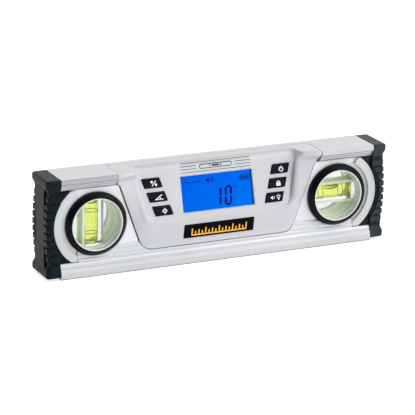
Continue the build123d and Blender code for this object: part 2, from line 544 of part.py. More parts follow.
put("battery_springs", spring(1, CELL_Z[0]), spring(-1, CELL_Z[1]))
tab = 3.4
plates = [bx(25.25, 25.65, 1.0, 9.0, 18.2, 38.2)]
for cz in CELL_Z:
    plates.append(bx(-25.65, -25.25, 1.2, 8.8, cz - 4.2, cz + 4.2)
                  + bx(-28.9, -25.4, 3.5, 6.5, cz - 0.2, cz + 0.2))
put("battery_contacts", *plates)


def lead(pts, r):
    path = FilletPolyline(*pts, radius=2.6)
    return sweep(Plane(path @ 0, z_dir=path % 0) * Circle(r), path=path)


def board_y(z):
    s = (z - (PANEL_Z0 - 7.1 * PANEL_SLOPE / _n)) * _n
    return PANEL_Y0 + s * PANEL_SLOPE / _n + 7.1 / _n


put("battery_lead_positive", lead([(-28.9, 5.0, CELL_Z[0]), (-37.0, 5.0, CELL_Z[0]), (-37.0, 5.0, 42.5),
                                   (-37.0, board_y(42.5) + 0.2, 42.5)], 0.6))
put("battery_lead_negative", lead([(-28.9, 5.0, CELL_Z[1]), (-34.0, 5.0, CELL_Z[1]), (-34.0, 5.0, 47.0),
                                   (-34.0, board_y(47.0) + 0.2, 47.0)], 0.6))

# ---------------------------------------------------------------- write the pieces
for name, sol in NODES.items():
    shape = sol[0] if len(sol) == 1 else Compound(children=sol)
    export_step(shape, os.path.join("parts", name + ".step"))
print(len(NODES), "nodes")
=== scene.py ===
import bpy
import bmesh
import json
import math
import numpy as np
from mathutils import Matrix, Vector
from mathutils.geometry import tessellate_polygon


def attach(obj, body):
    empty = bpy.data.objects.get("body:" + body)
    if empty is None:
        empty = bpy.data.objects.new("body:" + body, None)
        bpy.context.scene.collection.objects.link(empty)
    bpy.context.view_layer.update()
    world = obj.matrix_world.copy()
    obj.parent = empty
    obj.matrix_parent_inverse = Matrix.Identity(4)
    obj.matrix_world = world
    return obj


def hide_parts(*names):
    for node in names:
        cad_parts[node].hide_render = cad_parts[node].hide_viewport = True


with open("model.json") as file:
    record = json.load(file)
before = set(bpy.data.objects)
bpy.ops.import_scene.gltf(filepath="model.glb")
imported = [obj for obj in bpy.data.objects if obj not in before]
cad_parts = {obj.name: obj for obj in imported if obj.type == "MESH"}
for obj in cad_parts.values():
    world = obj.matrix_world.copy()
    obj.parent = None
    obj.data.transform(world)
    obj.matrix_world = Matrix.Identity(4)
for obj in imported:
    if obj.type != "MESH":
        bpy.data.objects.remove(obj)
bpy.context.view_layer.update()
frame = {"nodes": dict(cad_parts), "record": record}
NODES = frame["nodes"]
ROOT = "level_body"
MM = 0.001
scene = bpy.context.scene

# ------------------------------------------------------------------ dimensions shared with the solids (mm)
VIAL_X, VIAL_Z = 89.0, 35.2
PANEL_Y0, PANEL_Z0, PANEL_SLOPE = -8.24, 47.2, 0.281
CREASE_Z, APRON_SLOPE, RIDGE_SLOPE = 31.2, 0.16, 0.176
MOD_BOT, MOD_TOP_HX, HEIGHT = 12.8, 75.0, 68.4
SIDE_Y, SHOULDER_Y = -9.8, -13.9
Y_CREASE = PANEL_Y0 + (CREASE_Z - PANEL_Z0) * PANEL_SLOPE
LCD_HX, LCD_S0, LCD_S1 = 26.2, -12.0, 11.85
KEYS = [(47.3, 10.05), (44.4, 0.62), (41.3, -8.85)]
KEY_W, KEY_H, KEY_SHEAR, KEY_PROUD = 12.65, 6.15, 0.3, 0.8
RECESS_R, WALL_FOOT = 5.0, 4.2
KEY_NAMES = {("L", 0): "unit", ("L", 1): "reference", ("L", 2): "calibrate",
             ("R", 0): "power", ("R", 1): "hold", ("R", 2): "sound"}


# ------------------------------------------------------------------ mesh helpers
def add_object(name, mesh):
    ob = bpy.data.objects.new(name, mesh)
    scene.collection.objects.link(ob)
    return ob


def mesh_from(name, verts, faces, angle=35.0):
    """Smooth-shaded mesh object from points in millimetres; edges over the angle stay sharp."""
    me = bpy.data.meshes.new(name)
    me.from_pydata([(v[0] * MM, v[1] * MM, v[2] * MM) for v in verts], [], faces)
    me.validate()
    bm = bmesh.new()
    bm.from_mesh(me)
    bmesh.ops.recalc_face_normals(bm, faces=bm.faces)
    bm.to_mesh(me)
    bm.free()
    finish_shading(me, angle)
    return add_object(name, me)


def finish_shading(me, angle):
    for p in me.polygons:
        p.use_smooth = True
    me.set_sharp_from_angle(angle=math.radians(angle))
    me.update()


class Place:
    """Local plane frame: x along the level, s up the face, out of the face."""

    def __init__(self, origin, s_dir, out):
        self.o, self.s, self.n = Vector(origin), Vector(s_dir), Vector(out)

    def at(self, x, s, h):
        return self.o + Vector((x, 0, 0)) + self.s * s + self.n * h


_n = math.hypot(1.0, PANEL_SLOPE)
PANEL = Place((0, PANEL_Y0, PANEL_Z0), (0, PANEL_SLOPE / _n, 1 / _n), (0, -1 / _n, PANEL_SLOPE / _n))
_m = math.hypot(1.0, APRON_SLOPE)
APRON = Place((0, Y_CREASE + (CREASE_Z - 22.15) * APRON_SLOPE, 22.15), (0, -APRON_SLOPE / _m, 1 / _m),
              (0, -1 / _m, -APRON_SLOPE / _m))


class Print:
    """Thin raised print on a plane: filled outlines and strokes, gathered into one mesh."""

    def __init__(self, place, h0, h1):
        self.place, self.h0, self.h1 = place, h0, h1
        self.verts, self.faces = [], []

    def fill(self, pts):
        area = sum(a[0] * b[1] - b[0] * a[1] for a, b in zip(pts, pts[1:] + pts[:1]))
        if area < 0:
            pts = pts[::-1]
        base, n = len(self.verts), len(pts)
        for h in (self.h0, self.h1):
            self.verts += [self.place.at(x, s, h) for x, s in pts]
        tris = tessellate_polygon([[Vector((x, s, 0)) for x, s in pts]])
        for t in tris:
            self.faces.append(tuple(base + n + i for i in t))
            self.faces.append(tuple(base + i for i in reversed(t)))
        for i in range(n):
            j = (i + 1) % n
            self.faces.append((base + i, base + j, base + n + j, base + n + i))

    def stroke(self, pts, width, closed=False):
        """A line of even width with mitred bends."""
        n = len(pts)
        left, right = [], []
        for i, p in enumerate(pts):
            a = pts[(i - 1) % n] if closed or i > 0 else None
            b = pts[(i + 1) % n] if closed or i < n - 1 else None
            d1 = (Vector(p) - Vector(a)).normalized() if a is not None else None
            d2 = (Vector(b) - Vector(p)).normalized() if b is not None else None
            d1, d2 = d1 or d2, d2 or d1
            n1, n2 = Vector((-d1.y, d1.x)), Vector((-d2.y, d2.x))
            m = (n1 + n2).normalized()
            m = m * (width / 2 / max(0.35, m.dot(n1)))
            left.append((p[0] + m.x, p[1] + m.y))
            right.append((p[0] - m.x, p[1] - m.y))
        base = len(self.verts)
        for h in (self.h0, self.h1):
            self.verts += [self.place.at(x, s, h) for x, s in left]
            self.verts += [self.place.at(x, s, h) for x, s in right]
        L0, R0, L1, R1 = base, base + n, base + 2 * n, base + 3 * n
        for i in range(n if closed else n - 1):
            j = (i + 1) % n
            self.faces += [(L1 + i, R1 + i, R1 + j, L1 + j), (L0 + i, L0 + j, R0 + j, R0 + i),
                           (L0 + i, L1 + i, L1 + j, L0 + j), (R0 + i, R0 + j, R1 + j, R1 + i)]
        if not closed:
            e = n - 1
            self.faces += [(L0, R0, R1, L1), (L0 + e, L1 + e, R1 + e, R0 + e)]

    def arc(self, cx, cs, r, a0, a1, width, steps=24):
        closed = abs(abs(a1 - a0) - 360) < 1e-6
        k = steps if closed else steps + 1
        pts = [(cx + r * math.cos(math.radians(a0 + (a1 - a0) * i / steps)),
                cs + r * math.sin(math.radians(a0 + (a1 - a0) * i / steps))) for i in range(k)]
        self.stroke(pts, width, closed)

    def disc(self, cx, cs, r, steps=20):
        self.fill([(cx + r * math.cos(2 * math.pi * i / steps), cs + r * math.sin(2 * math.pi * i / steps))
                   for i in range(steps)])

    def bar(self, x0, x1, s0, s1, r=0.0):
        if r <= 0:
            self.fill([(x0, s0), (x1, s0), (x1, s1), (x0, s1)])
            return
        self.fill(rounded_rect(x0, x1, s0, s1, r))

    def make(self, name):
        return mesh_from(name, self.verts, self.faces, 30)


def rounded_rect(x0, x1, s0, s1, r, steps=5):
    pts = []
    for cx, cs, a in ((x1 - r, s0 + r, -90), (x1 - r, s1 - r, 0), (x0 + r, s1 - r, 90), (x0 + r, s0 + r, 180)):
        for i in range(steps + 1):
            t = math.radians(a + 90 * i / steps)
            pts.append((cx + r * math.cos(t), cs + r * math.sin(t)))
    return pts


def rounded_poly(pts, r, steps=4):
    """Corner-rounded copy of a convex polygon given in order."""
    out, n = [], len(pts)
    for i in range(n):
        p, a, b = Vector(pts[i]), Vector(pts[i - 1]), Vector(pts[(i + 1) % n])
        d1, d2 = (a - p).normalized(), (b - p).normalized()
        q1, q2 = p + d1 * r, p + d2 * r
        for k in range(steps + 1):
            t = k / steps
            q = q1 * (1 - t) ** 2 + p * (2 * t * (1 - t)) + q2 * t ** 2
            out.append((q.x, q.y))
    return out


# ------------------------------------------------------------------ material helpers
def node_material(name):
    m = bpy.data.materials.new(name)
    m.use_nodes = True
    nt = m.node_tree
    nt.nodes.clear()
    out = nt.nodes.new("ShaderNodeOutputMaterial")
    return m, nt, out


def obj_coords(nt, scale=(1, 1, 1)):
    tc = nt.nodes.new("ShaderNodeTexCoord")
    mp = nt.nodes.new("ShaderNodeMapping")
    mp.inputs["Scale"].default_value = scale
    nt.links.new(tc.outputs["Object"], mp.inputs["Vector"])
    return mp.outputs["Vector"]


def noise(nt, vec, scale, detail=3.0, rough=0.5):
    n = nt.nodes.new("ShaderNodeTexNoise")
    n.inputs["Scale"].default_value = scale
    n.inputs["Detail"].default_value = detail
    n.inputs["Roughness"].default_value = rough
    nt.links.new(vec, n.inputs["Vector"])
    return n.outputs["Fac"]


def ramp(nt, fac, stops):
    r = nt.nodes.new("ShaderNodeValToRGB")
    el = r.color_ramp.elements
    while len(el) < len(stops):
        el.new(0.5)
    for e, (p, c) in zip(el, stops):
        e.position = p
        e.color = (*c, 1.0)
    nt.links.new(fac, r.inputs["Fac"])
    return r.outputs["Color"]


def map_range(nt, fac, a, b, lo, hi):
    m = nt.nodes.new("ShaderNodeMapRange")
    m.inputs["From Min"].default_value = a
    m.inputs["From Max"].default_value = b
    m.inputs["To Min"].default_value = lo
    m.inputs["To Max"].default_value = hi
    nt.links.new(fac, m.inputs["Value"])
    return m.outputs["Result"]


def bump(nt, height, strength, distance):
    b = nt.nodes.new("ShaderNodeBump")
    b.inputs["Strength"].default_value = strength
    b.inputs["Distance"].default_value = distance
    nt.links.new(height, b.inputs["Height"])
    return b.outputs["Normal"]


def surface(name, dark, light, rough, metallic=0.0, grain=900.0, stretch=(1, 1, 1), bump_strength=0.1,
            bump_distance=0.00005, spread=(0.35, 0.65), specular=0.5, coat=0.0, coat_rough=0.1, blotch=60.0,
            sheen=0.0, emission=None):
    """Moulded or drawn solid surface: grain drives colour, roughness and bump, a slow noise adds unevenness."""
    m, nt, out = node_material(name)
    p = nt.nodes.new("ShaderNodeBsdfPrincipled")
    vec = obj_coords(nt, stretch)
    g = noise(nt, vec, grain, 4.0, 0.55)
    slow = noise(nt, obj_coords(nt), blotch, 2.0, 0.5)
    mixn = nt.nodes.new("ShaderNodeMath")
    mixn.operation = "MULTIPLY_ADD"
    nt.links.new(slow, mixn.inputs[0])
    mixn.inputs[1].default_value = 0.45
    half = nt.nodes.new("ShaderNodeMath")
    half.operation = "MULTIPLY"
    half.inputs[1].default_value = 0.55
    nt.links.new(g, half.inputs[0])
    nt.links.new(half.outputs[0], mixn.inputs[2])
    nt.links.new(ramp(nt, mixn.outputs[0], [(spread[0], dark), (spread[1], light)]), p.inputs["Base Color"])
    nt.links.new(map_range(nt, g, 0.3, 0.7, rough[0], rough[1]), p.inputs["Roughness"])
    if bump_strength > 0:
        nt.links.new(bump(nt, g, bump_strength, bump_distance), p.inputs["Normal"])
    p.inputs["Metallic"].default_value = metallic
    p.inputs["Specular IOR Level"].default_value = specular
    p.inputs["Coat Weight"].default_value = coat
    p.inputs["Coat Roughness"].default_value = coat_rough
    p.inputs["Sheen Weight"].default_value = sheen
    if emission:
        p.inputs["Emission Color"].default_value = (*emission[0], 1)
        p.inputs["Emission Strength"].default_value = emission[1]
    nt.links.new(p.outputs["BSDF"], out.inputs["Surface"])
    return m


def clear(name, tint, ior, rough=(0.0, 0.03), lamp_tint=(1, 1, 1), specular=0.5, glow=None, scale=400.0):
    """Clear moulding: refracting for sight, and letting lamp light through to what it covers."""
    m, nt, out = node_material(name)
    p = nt.nodes.new("ShaderNodeBsdfPrincipled")
    n = noise(nt, obj_coords(nt), scale, 2.0, 0.5)
    nt.links.new(map_range(nt, n, 0.35, 0.65, rough[0], rough[1]), p.inputs["Roughness"])
    warm = tuple(c * 0.985 for c in tint)
    nt.links.new(ramp(nt, n, [(0.3, warm), (0.7, tint)]), p.inputs["Base Color"])
    p.inputs["Transmission Weight"].default_value = 1.0
    p.inputs["IOR"].default_value = ior
    p.inputs["Specular IOR Level"].default_value = specular
    if glow:
        p.inputs["Emission Color"].default_value = (*glow[0], 1)
        p.inputs["Emission Strength"].default_value = glow[1]
    t = nt.nodes.new("ShaderNodeBsdfTransparent")
    t.inputs["Color"].default_value = (*lamp_tint, 1)
    lp = nt.nodes.new("ShaderNodeLightPath")
    mx = nt.nodes.new("ShaderNodeMixShader")
    nt.links.new(lp.outputs["Is Shadow Ray"], mx.inputs["Fac"])
    nt.links.new(p.outputs["BSDF"], mx.inputs[1])
    nt.links.new(t.outputs["BSDF"], mx.inputs[2])
    nt.links.new(mx.outputs["Shader"], out.inputs["Surface"])
    return m


def dress(ob, mat):
    ob.data.materials.clear()
    ob.data.materials.append(mat)
    return ob


def shade_along(m, axis, lo, hi, stops):
    """Multiply a material's colour by grey levels along the distance from the mid plane of one axis."""
    nt = m.node_tree
    p = next(n for n in nt.nodes if n.type == "BSDF_PRINCIPLED")
    base = p.inputs["Base Color"].links[0].from_socket
    tc = nt.nodes.new("ShaderNodeTexCoord")
    sep = nt.nodes.new("ShaderNodeSeparateXYZ")
    nt.links.new(tc.outputs["Object"], sep.inputs["Vector"])
    size = nt.nodes.new("ShaderNodeMath")
    size.operation = "ABSOLUTE"
    nt.links.new(sep.outputs[axis], size.inputs[0])
    pos = map_range(nt, size.outputs[0], lo * MM, hi * MM, 0.0, 1.0)
    level = ramp(nt, pos, [((at - lo) / (hi - lo), (g, g, g)) for at, g in stops])
    mul = nt.nodes.new("ShaderNodeVectorMath")
    mul.operation = "MULTIPLY"
    nt.links.new(base, mul.inputs[0])
    nt.links.new(level, mul.inputs[1])
    nt.links.new(mul.outputs["Vector"], p.inputs["Base Color"])
    return m


def shade_recess_foot(m):
    """Painted shade along the foot of the recess wall beside the right keys, matched to the photo."""
    nt = m.node_tree
    p = next(n for n in nt.nodes if n.type == "BSDF_PRINCIPLED")
    base = p.inputs["Base Color"].links[0].from_socket
    tc = nt.nodes.new("ShaderNodeTexCoord")
    sep = nt.nodes.new("ShaderNodeSeparateXYZ")
    nt.links.new(tc.outputs["Object"], sep.inputs["Vector"])
    across = nt.nodes.new("ShaderNodeMath")
    across.operation = "MULTIPLY_ADD"
    across.inputs[1].default_value = -0.118
    nt.links.new(sep.outputs["Z"], across.inputs[0])
    nt.links.new(sep.outputs["X"], across.inputs[2])
    pos = map_range(nt, across.outputs[0], (49.7 - 4.0) * MM, (49.7 + 8.0) * MM, 0.0, 1.0)
    stops = [(-2.3, 1.0), (-1.2, 0.74), (0.0, 0.64), (1.0, 0.62), (2.0, 0.80), (4.2, 0.92), (6.2, 1.0)]
    level = ramp(nt, pos, [((e + 4.0) / 12.0, (g, g, g)) for e, g in stops])
    reach = ramp(nt, map_range(nt, sep.outputs["Z"], 30 * MM, 65 * MM, 0.0, 1.0),
                 [(0.10, (0, 0, 0)), (0.24, (1, 1, 1)), (0.66, (1, 1, 1)), (0.92, (0.15, 0.15, 0.15)), (1.0, (0, 0, 0))])
    painted_shade = nt.nodes.new("ShaderNodeVectorMath")
    painted_shade.operation = "MULTIPLY"
    nt.links.new(base, painted_shade.inputs[0])
    nt.links.new(level, painted_shade.inputs[1])
    mix = nt.nodes.new("ShaderNodeMix")
    mix.data_type = "RGBA"
    nt.links.new(reach, mix.inputs[0])
    nt.links.new(base, mix.inputs[6])
    nt.links.new(painted_shade.outputs["Vector"], mix.inputs[7])
    nt.links.new(mix.outputs[2], p.inputs["Base Color"])
    return m


def shade_left_lip(m):
    """Painted shade on the edge of the rail's upper lip at the left end, matched to the photo."""
    nt = m.node_tree
    p = next(n for n in nt.nodes if n.type == "BSDF_PRINCIPLED")
    base = p.inputs["Base Color"].links[0].from_socket
    tc = nt.nodes.new("ShaderNodeTexCoord")
    sep = nt.nodes.new("ShaderNodeSeparateXYZ")
    nt.links.new(tc.outputs["Object"], sep.inputs["Vector"])
    lip = ramp(nt, map_range(nt, sep.outputs["Z"], 60 * MM, 69 * MM, 0.0, 1.0),
               [(0.50, (0, 0, 0)), (0.56, (1, 1, 1)), (0.88, (1, 1, 1)), (0.915, (0, 0, 0))])
    left = map_range(nt, sep.outputs["X"], 60 * MM, -60 * MM, 1.0, 0.74)
    painted_shade = nt.nodes.new("ShaderNodeVectorMath")
    painted_shade.operation = "SCALE"
    nt.links.new(base, painted_shade.inputs[0])
    nt.links.new(left, painted_shade.inputs["Scale"])
    mix = nt.nodes.new("ShaderNodeMix")
    mix.data_type = "RGBA"
    nt.links.new(lip, mix.inputs[0])
    nt.links.new(base, mix.inputs[6])
    nt.links.new(painted_shade.outputs["Vector"], mix.inputs[7])
    nt.links.new(mix.outputs[2], p.inputs["Base Color"])
    return m


# ------------------------------------------------------------------ materials
M_RAIL = surface("anodised_rail", (0.440, 0.450, 0.466), (0.505, 0.512, 0.528), (0.40, 0.52), metallic=0.65, grain=1.0,
                 stretch=(14, 2600, 2600), bump_strength=0.05, bump_distance=0.00003, blotch=25.0)
# painted shade, matched to the photo: darker bands on the ledges and edge of the upper lip, and on the chamfer over the
# measuring face
shade_along(M_RAIL, "Z", 60.0, 69.0, [(61.9, 1.0), (62.35, 0.66), (62.8, 0.66), (63.15, 0.96), (63.75, 0.96), (64.15, 0.62),
                                      (64.8, 0.66), (65.15, 0.95), (67.6, 0.95), (67.8, 0.70), (68.28, 0.72), (68.38, 1.0)])
shade_along(M_RAIL, "Z", 0.0, 2.0, [(0.03, 1.0), (0.06, 0.30), (0.72, 0.30), (0.92, 1.0)])
shade_left_lip(M_RAIL)
M_HOUSING = surface("silver_housing", (0.438, 0.446, 0.459), (0.478, 0.485, 0.497), (0.36, 0.46), metallic=0.12, grain=5200.0,
                    bump_strength=0.06, bump_distance=0.00003, blotch=30.0, specular=0.4)
shade_recess_foot(M_HOUSING)
M_COVER = surface("silver_cover", (0.600, 0.607, 0.620), (0.648, 0.655, 0.667), (0.36, 0.46), metallic=0.12, grain=5200.0,
                  bump_strength=0.06, bump_distance=0.00003, blotch=40.0, specular=0.4)
# painted shade: the raised crescents of the vial covers darker than the flat plate
shade_along(M_COVER, "Y", 6.0, 12.0, [(8.9, 1.0), (9.9, 0.90), (10.9, 0.76)])
M_CAP = surface("cap_rubber", (0.0022, 0.0036, 0.0060), (0.0050, 0.0074, 0.0108), (0.40, 0.52), grain=3600.0, bump_strength=0.16,
                bump_distance=0.00006, blotch=90.0, specular=0.10)
M_CAP_PAINTED_LIT = surface("cap_rubber_painted_lit", (0.0150, 0.0190, 0.0230), (0.0300, 0.0360, 0.0410), (0.40, 0.52), grain=3600.0,
                        bump_strength=0.16, bump_distance=0.00006, blotch=90.0, specular=0.14)
# painted shade in the grooves, so the ribs show lighter than the grooves between them; the right cap gets a lighter
# copy of the same rubber, painted light that makes it greyer than the left one, as in the photo
for m in (M_CAP, M_CAP_PAINTED_LIT):
    m.node_tree.nodes["Principled BSDF"].inputs["Specular Tint"].default_value = (0.66, 0.93, 1.0, 1.0)
shade_along(M_CAP, "Y", 11.0, 15.0, [(12.55, 0.55), (13.1, 1.0)])
shade_along(M_CAP_PAINTED_LIT, "Y", 11.0, 15.0, [(12.55, 0.35), (13.1, 1.0)])
M_RING = surface("ring_black", (0.0014, 0.0018, 0.0034), (0.0030, 0.0036, 0.0060), (0.26, 0.36), grain=2400.0, bump_strength=0.04,
                 bump_distance=0.00002, specular=0.085)
M_KEY = surface("key_rubber", (0.0026, 0.0030, 0.0042), (0.0052, 0.0060, 0.0078), (0.46, 0.58), grain=4200.0, bump_strength=0.12,
                bump_distance=0.00004, specular=0.07)
M_PLATE = surface("plate_black", (0.0008, 0.0014, 0.0026), (0.0018, 0.0028, 0.0044), (0.30, 0.40), grain=3000.0, bump_strength=0.05,
                  bump_distance=0.00002, specular=0.03)
M_WHITE = surface("white_moulding", (0.80, 0.82, 0.80), (0.90, 0.91, 0.89), (0.34, 0.46), grain=2600.0, bump_strength=0.05)
M_WINDOW = clear("window_clear", (0.98, 0.99, 0.99), 1.12)
M_REAR = clear("rear_window", (0.61, 0.635, 0.565), 1.12)
M_DISPLAY = clear("display_window", (0.99, 0.995, 1.0), 1.03)
M_BLOCK = clear("vial_acrylic", (0.97, 0.985, 0.965), 1.30)
# the liquid's faint glow is painted light
M_LIQUID = clear("vial_liquid", (0.875, 0.905, 0.222), 0.915, lamp_tint=(0.90, 0.95, 0.55), glow=((0.70, 0.76, 0.05), 0.05), specular=0.0)
M_AIR = clear("vial_air", (0.99, 1.0, 0.95), 0.735)
M_MARK = surface("vial_marks", (0.035, 0.045, 0.004), (0.07, 0.08, 0.01), (0.4, 0.6))
M_PLUNGER = surface("plunger_plastic", (0.70, 0.70, 0.67), (0.80, 0.80, 0.77), (0.4, 0.5))
M_GUIDE = surface("light_guide", (0.70, 0.80, 0.92), (0.80, 0.88, 0.97), (0.2, 0.3))
M_STRIP = surface("strip_rubber", (0.015, 0.015, 0.015), (0.03, 0.03, 0.03), (0.5, 0.7))
M_CHIP = surface("chip_black", (0.012, 0.012, 0.013), (0.025, 0.025, 0.026), (0.45, 0.6), grain=5000)
M_SWITCH = surface("switch_black", (0.015, 0.015, 0.016), (0.03, 0.03, 0.031), (0.4, 0.55), grain=4000)
M_NICKEL = surface("nickel_plate", (0.60, 0.59, 0.56), (0.72, 0.71, 0.68), (0.16, 0.28), metallic=1.0, grain=2000, bump_strength=0.05)
M_STEEL = surface("screw_steel", (0.30, 0.30, 0.31), (0.44, 0.44, 0.45), (0.28, 0.42), metallic=1.0, grain=2500, bump_strength=0.08)
M_RED = surface("lead_red", (0.40, 0.02, 0.02), (0.52, 0.035, 0.03), (0.35, 0.45), grain=3000)
M_BLACK = surface("lead_black", (0.012, 0.012, 0.012), (0.024, 0.024, 0.024), (0.35, 0.45), grain=3000)
M_INK = surface("print_grey", (0.030, 0.032, 0.036), (0.055, 0.058, 0.062), (0.45, 0.6), grain=3000, bump_strength=0.03)
M_ICON = surface("print_white", (0.72, 0.73, 0.75), (0.84, 0.85, 0.86), (0.45, 0.6), grain=3000, bump_strength=0.03)
M_SCALE = surface("print_orange", (0.84, 0.36, 0.010), (0.95, 0.46, 0.020), (0.4, 0.5), grain=2500, bump_strength=0.03)
M_SEGMENT = surface("segment_ink", (0.000, 0.002, 0.02), (0.001, 0.003, 0.03), (0.5, 0.6), grain=2500, bump_strength=0.0, specular=0.05,
                    emission=((0.0, 0.004, 0.16), 1.0))


def board_material():
    m, nt, out = node_material("board_green")
    p = nt.nodes.new("ShaderNodeBsdfPrincipled")
    vec = obj_coords(nt)
    v = nt.nodes.new("ShaderNodeTexVoronoi")
    v.feature = "DISTANCE_TO_EDGE"
    v.inputs["Scale"].default_value = 330.0
    nt.links.new(vec, v.inputs["Vector"])
    col = ramp(nt, v.outputs["Distance"], [(0.05, (0.04, 0.22, 0.08)), (0.09, (0.012, 0.10, 0.035))])
    nt.links.new(col, p.inputs["Base Color"])
    g = noise(nt, vec, 2500.0)
    nt.links.new(map_range(nt, g, 0.3, 0.7, 0.3, 0.42), p.inputs["Roughness"])
    nt.links.new(p.outputs["BSDF"], out.inputs["Surface"])
    return m


def lcd_material():
    """Blue lit display: even glow, a little brighter towards the lower right."""
    m, nt, out = node_material("lcd_glass")
    p = nt.nodes.new("ShaderNodeBsdfPrincipled")
    tc = nt.nodes.new("ShaderNodeTexCoord")
    sep = nt.nodes.new("ShaderNodeSeparateXYZ")
    nt.links.new(tc.outputs["Object"], sep.inputs["Vector"])
    gx = map_range(nt, sep.outputs["X"], -0.027, 0.027, 0.0, 0.6)
    gz = map_range(nt, sep.outputs["Z"], 0.060, 0.034, 0.0, 0.4)
    add = nt.nodes.new("ShaderNodeMath")
    add.operation = "ADD"
    nt.links.new(gx, add.inputs[0])
    nt.links.new(gz, add.inputs[1])
    soft = noise(nt, obj_coords(nt), 120.0, 2.0)
    add2 = nt.nodes.new("ShaderNodeMath")
    add2.operation = "MULTIPLY_ADD"
    nt.links.new(soft, add2.inputs[0])
    add2.inputs[1].default_value = 0.16
    nt.links.new(add.outputs[0], add2.inputs[2])
    col = ramp(nt, add2.outputs[0], [(0.0, (0.0, 0.100, 0.74)), (0.5, (0.0, 0.128, 0.80)), (1.0, (0.0, 0.170, 0.88))])
    # painted shadow of the bezel: a darker strip along the right edge, as in the photo
    rim = ramp(nt, map_range(nt, sep.outputs["X"], 0.0240, 0.0264, 0.0, 1.0),
               [(0.0, (1, 1, 1)), (0.55, (1, 1, 1)), (0.80, (0.30, 0.32, 0.36)), (1.0, (0.12, 0.13, 0.16))])
    lit = nt.nodes.new("ShaderNodeVectorMath")
    lit.operation = "MULTIPLY"
    nt.links.new(col, lit.inputs[0])
    nt.links.new(rim, lit.inputs[1])
    nt.links.new(lit.outputs["Vector"], p.inputs["Emission Color"])
    p.inputs["Emission Strength"].default_value = 0.95
    base = ramp(nt, soft, [(0.3, (0.0, 0.010, 0.06)), (0.7, (0.0, 0.014, 0.08))])
    nt.links.new(base, p.inputs["Base Color"])
    p.inputs["Specular IOR Level"].default_value = 0.0
    g = noise(nt, obj_coords(nt), 3000.0)
    nt.links.new(map_range(nt, g, 0.3, 0.7, 0.35, 0.5), p.inputs["Roughness"])
    nt.links.new(p.outputs["BSDF"], out.inputs["Surface"])
    return m


def carrier_material(name, axis, centre, far_rail_shade):
    """White moulding with painted reflection: its bore carries the green of the vial in bands; the rails beside the
    block stay white, and the front face of the far rail takes a painted shade colour.
    """
    m, nt, out = node_material(name)
    p = nt.nodes.new("ShaderNodeBsdfPrincipled")
    tc = nt.nodes.new("ShaderNodeTexCoord")
    sep = nt.nodes.new("ShaderNodeSeparateXYZ")
    nt.links.new(tc.outputs["Object"], sep.inputs["Vector"])
    wob = noise(nt, obj_coords(nt), 90.0, 3.0, 0.6)
    ys = map_range(nt, sep.outputs["Y"], -0.0106, 0.0106, 0.0, 1.0)
    shift = nt.nodes.new("ShaderNodeMath")
    shift.operation = "MULTIPLY_ADD"
    nt.links.new(wob, shift.inputs[0])
    shift.inputs[1].default_value = 0.22
    nt.links.new(ys, shift.inputs[2])
    bands = ramp(nt, shift.outputs[0], [(0.13, (0.60, 0.62, 0.615)), (0.20, (0.53, 0.60, 0.49)), (0.30, (0.49, 0.58, 0.42)),
                                        (0.38, (0.53, 0.62, 0.44)), (0.43, (0.74, 0.80, 0.65)), (0.48, (0.50, 0.64, 0.37)),
                                        (0.58, (0.60, 0.71, 0.48)), (0.64, (0.48, 0.63, 0.34)), (0.74, (0.62, 0.74, 0.49)),
                                        (0.86, (0.77, 0.81, 0.70)), (1.0, (0.79, 0.82, 0.77))])
    sub = nt.nodes.new("ShaderNodeMath")
    sub.operation = "SUBTRACT"
    nt.links.new(sep.outputs[axis], sub.inputs[0])
    sub.inputs[1].default_value = centre
    ab = nt.nodes.new("ShaderNodeMath")
    ab.operation = "ABSOLUTE"
    nt.links.new(sub.outputs[0], ab.inputs[0])
    rail_mask = map_range(nt, ab.outputs[0], 0.0071, 0.0074, 1.0, 0.0)
    mix = nt.nodes.new("ShaderNodeMix")
    mix.data_type = "RGBA"
    nt.links.new(rail_mask, mix.inputs["Factor"])
    nt.links.new(bands, mix.inputs[6])
    edge = map_range(nt, sub.outputs[0], 0.0058, 0.0060, 0.0, 1.0)
    along = nt.nodes.new("ShaderNodeMath")
    along.operation = "SUBTRACT"
    nt.links.new(sep.outputs["Z" if axis == "X" else "X"], along.inputs[0])
    along.inputs[1].default_value = 0.0352 if axis == "X" else 0.089
    dist = nt.nodes.new("ShaderNodeMath")
    dist.operation = "ABSOLUTE"
    nt.links.new(along.outputs[0], dist.inputs[0])
    body = map_range(nt, dist.outputs[0], 0.0149, 0.0152, 1.0, 0.0)
    both = nt.nodes.new("ShaderNodeMath")
    both.operation = "MULTIPLY"
    nt.links.new(edge, both.inputs[0])
    nt.links.new(body, both.inputs[1])
    white = ramp(nt, both.outputs[0], [(0.0, (0.62, 0.64, 0.63)), (1.0, far_rail_shade)])
    nt.links.new(white, mix.inputs[7])
    nt.links.new(mix.outputs[2], p.inputs["Base Color"])
    g = noise(nt, obj_coords(nt), 2600.0)
    nt.links.new(map_range(nt, g, 0.3, 0.7, 0.22, 0.34), p.inputs["Roughness"])
    nt.links.new(p.outputs["BSDF"], out.inputs["Surface"])
    return m


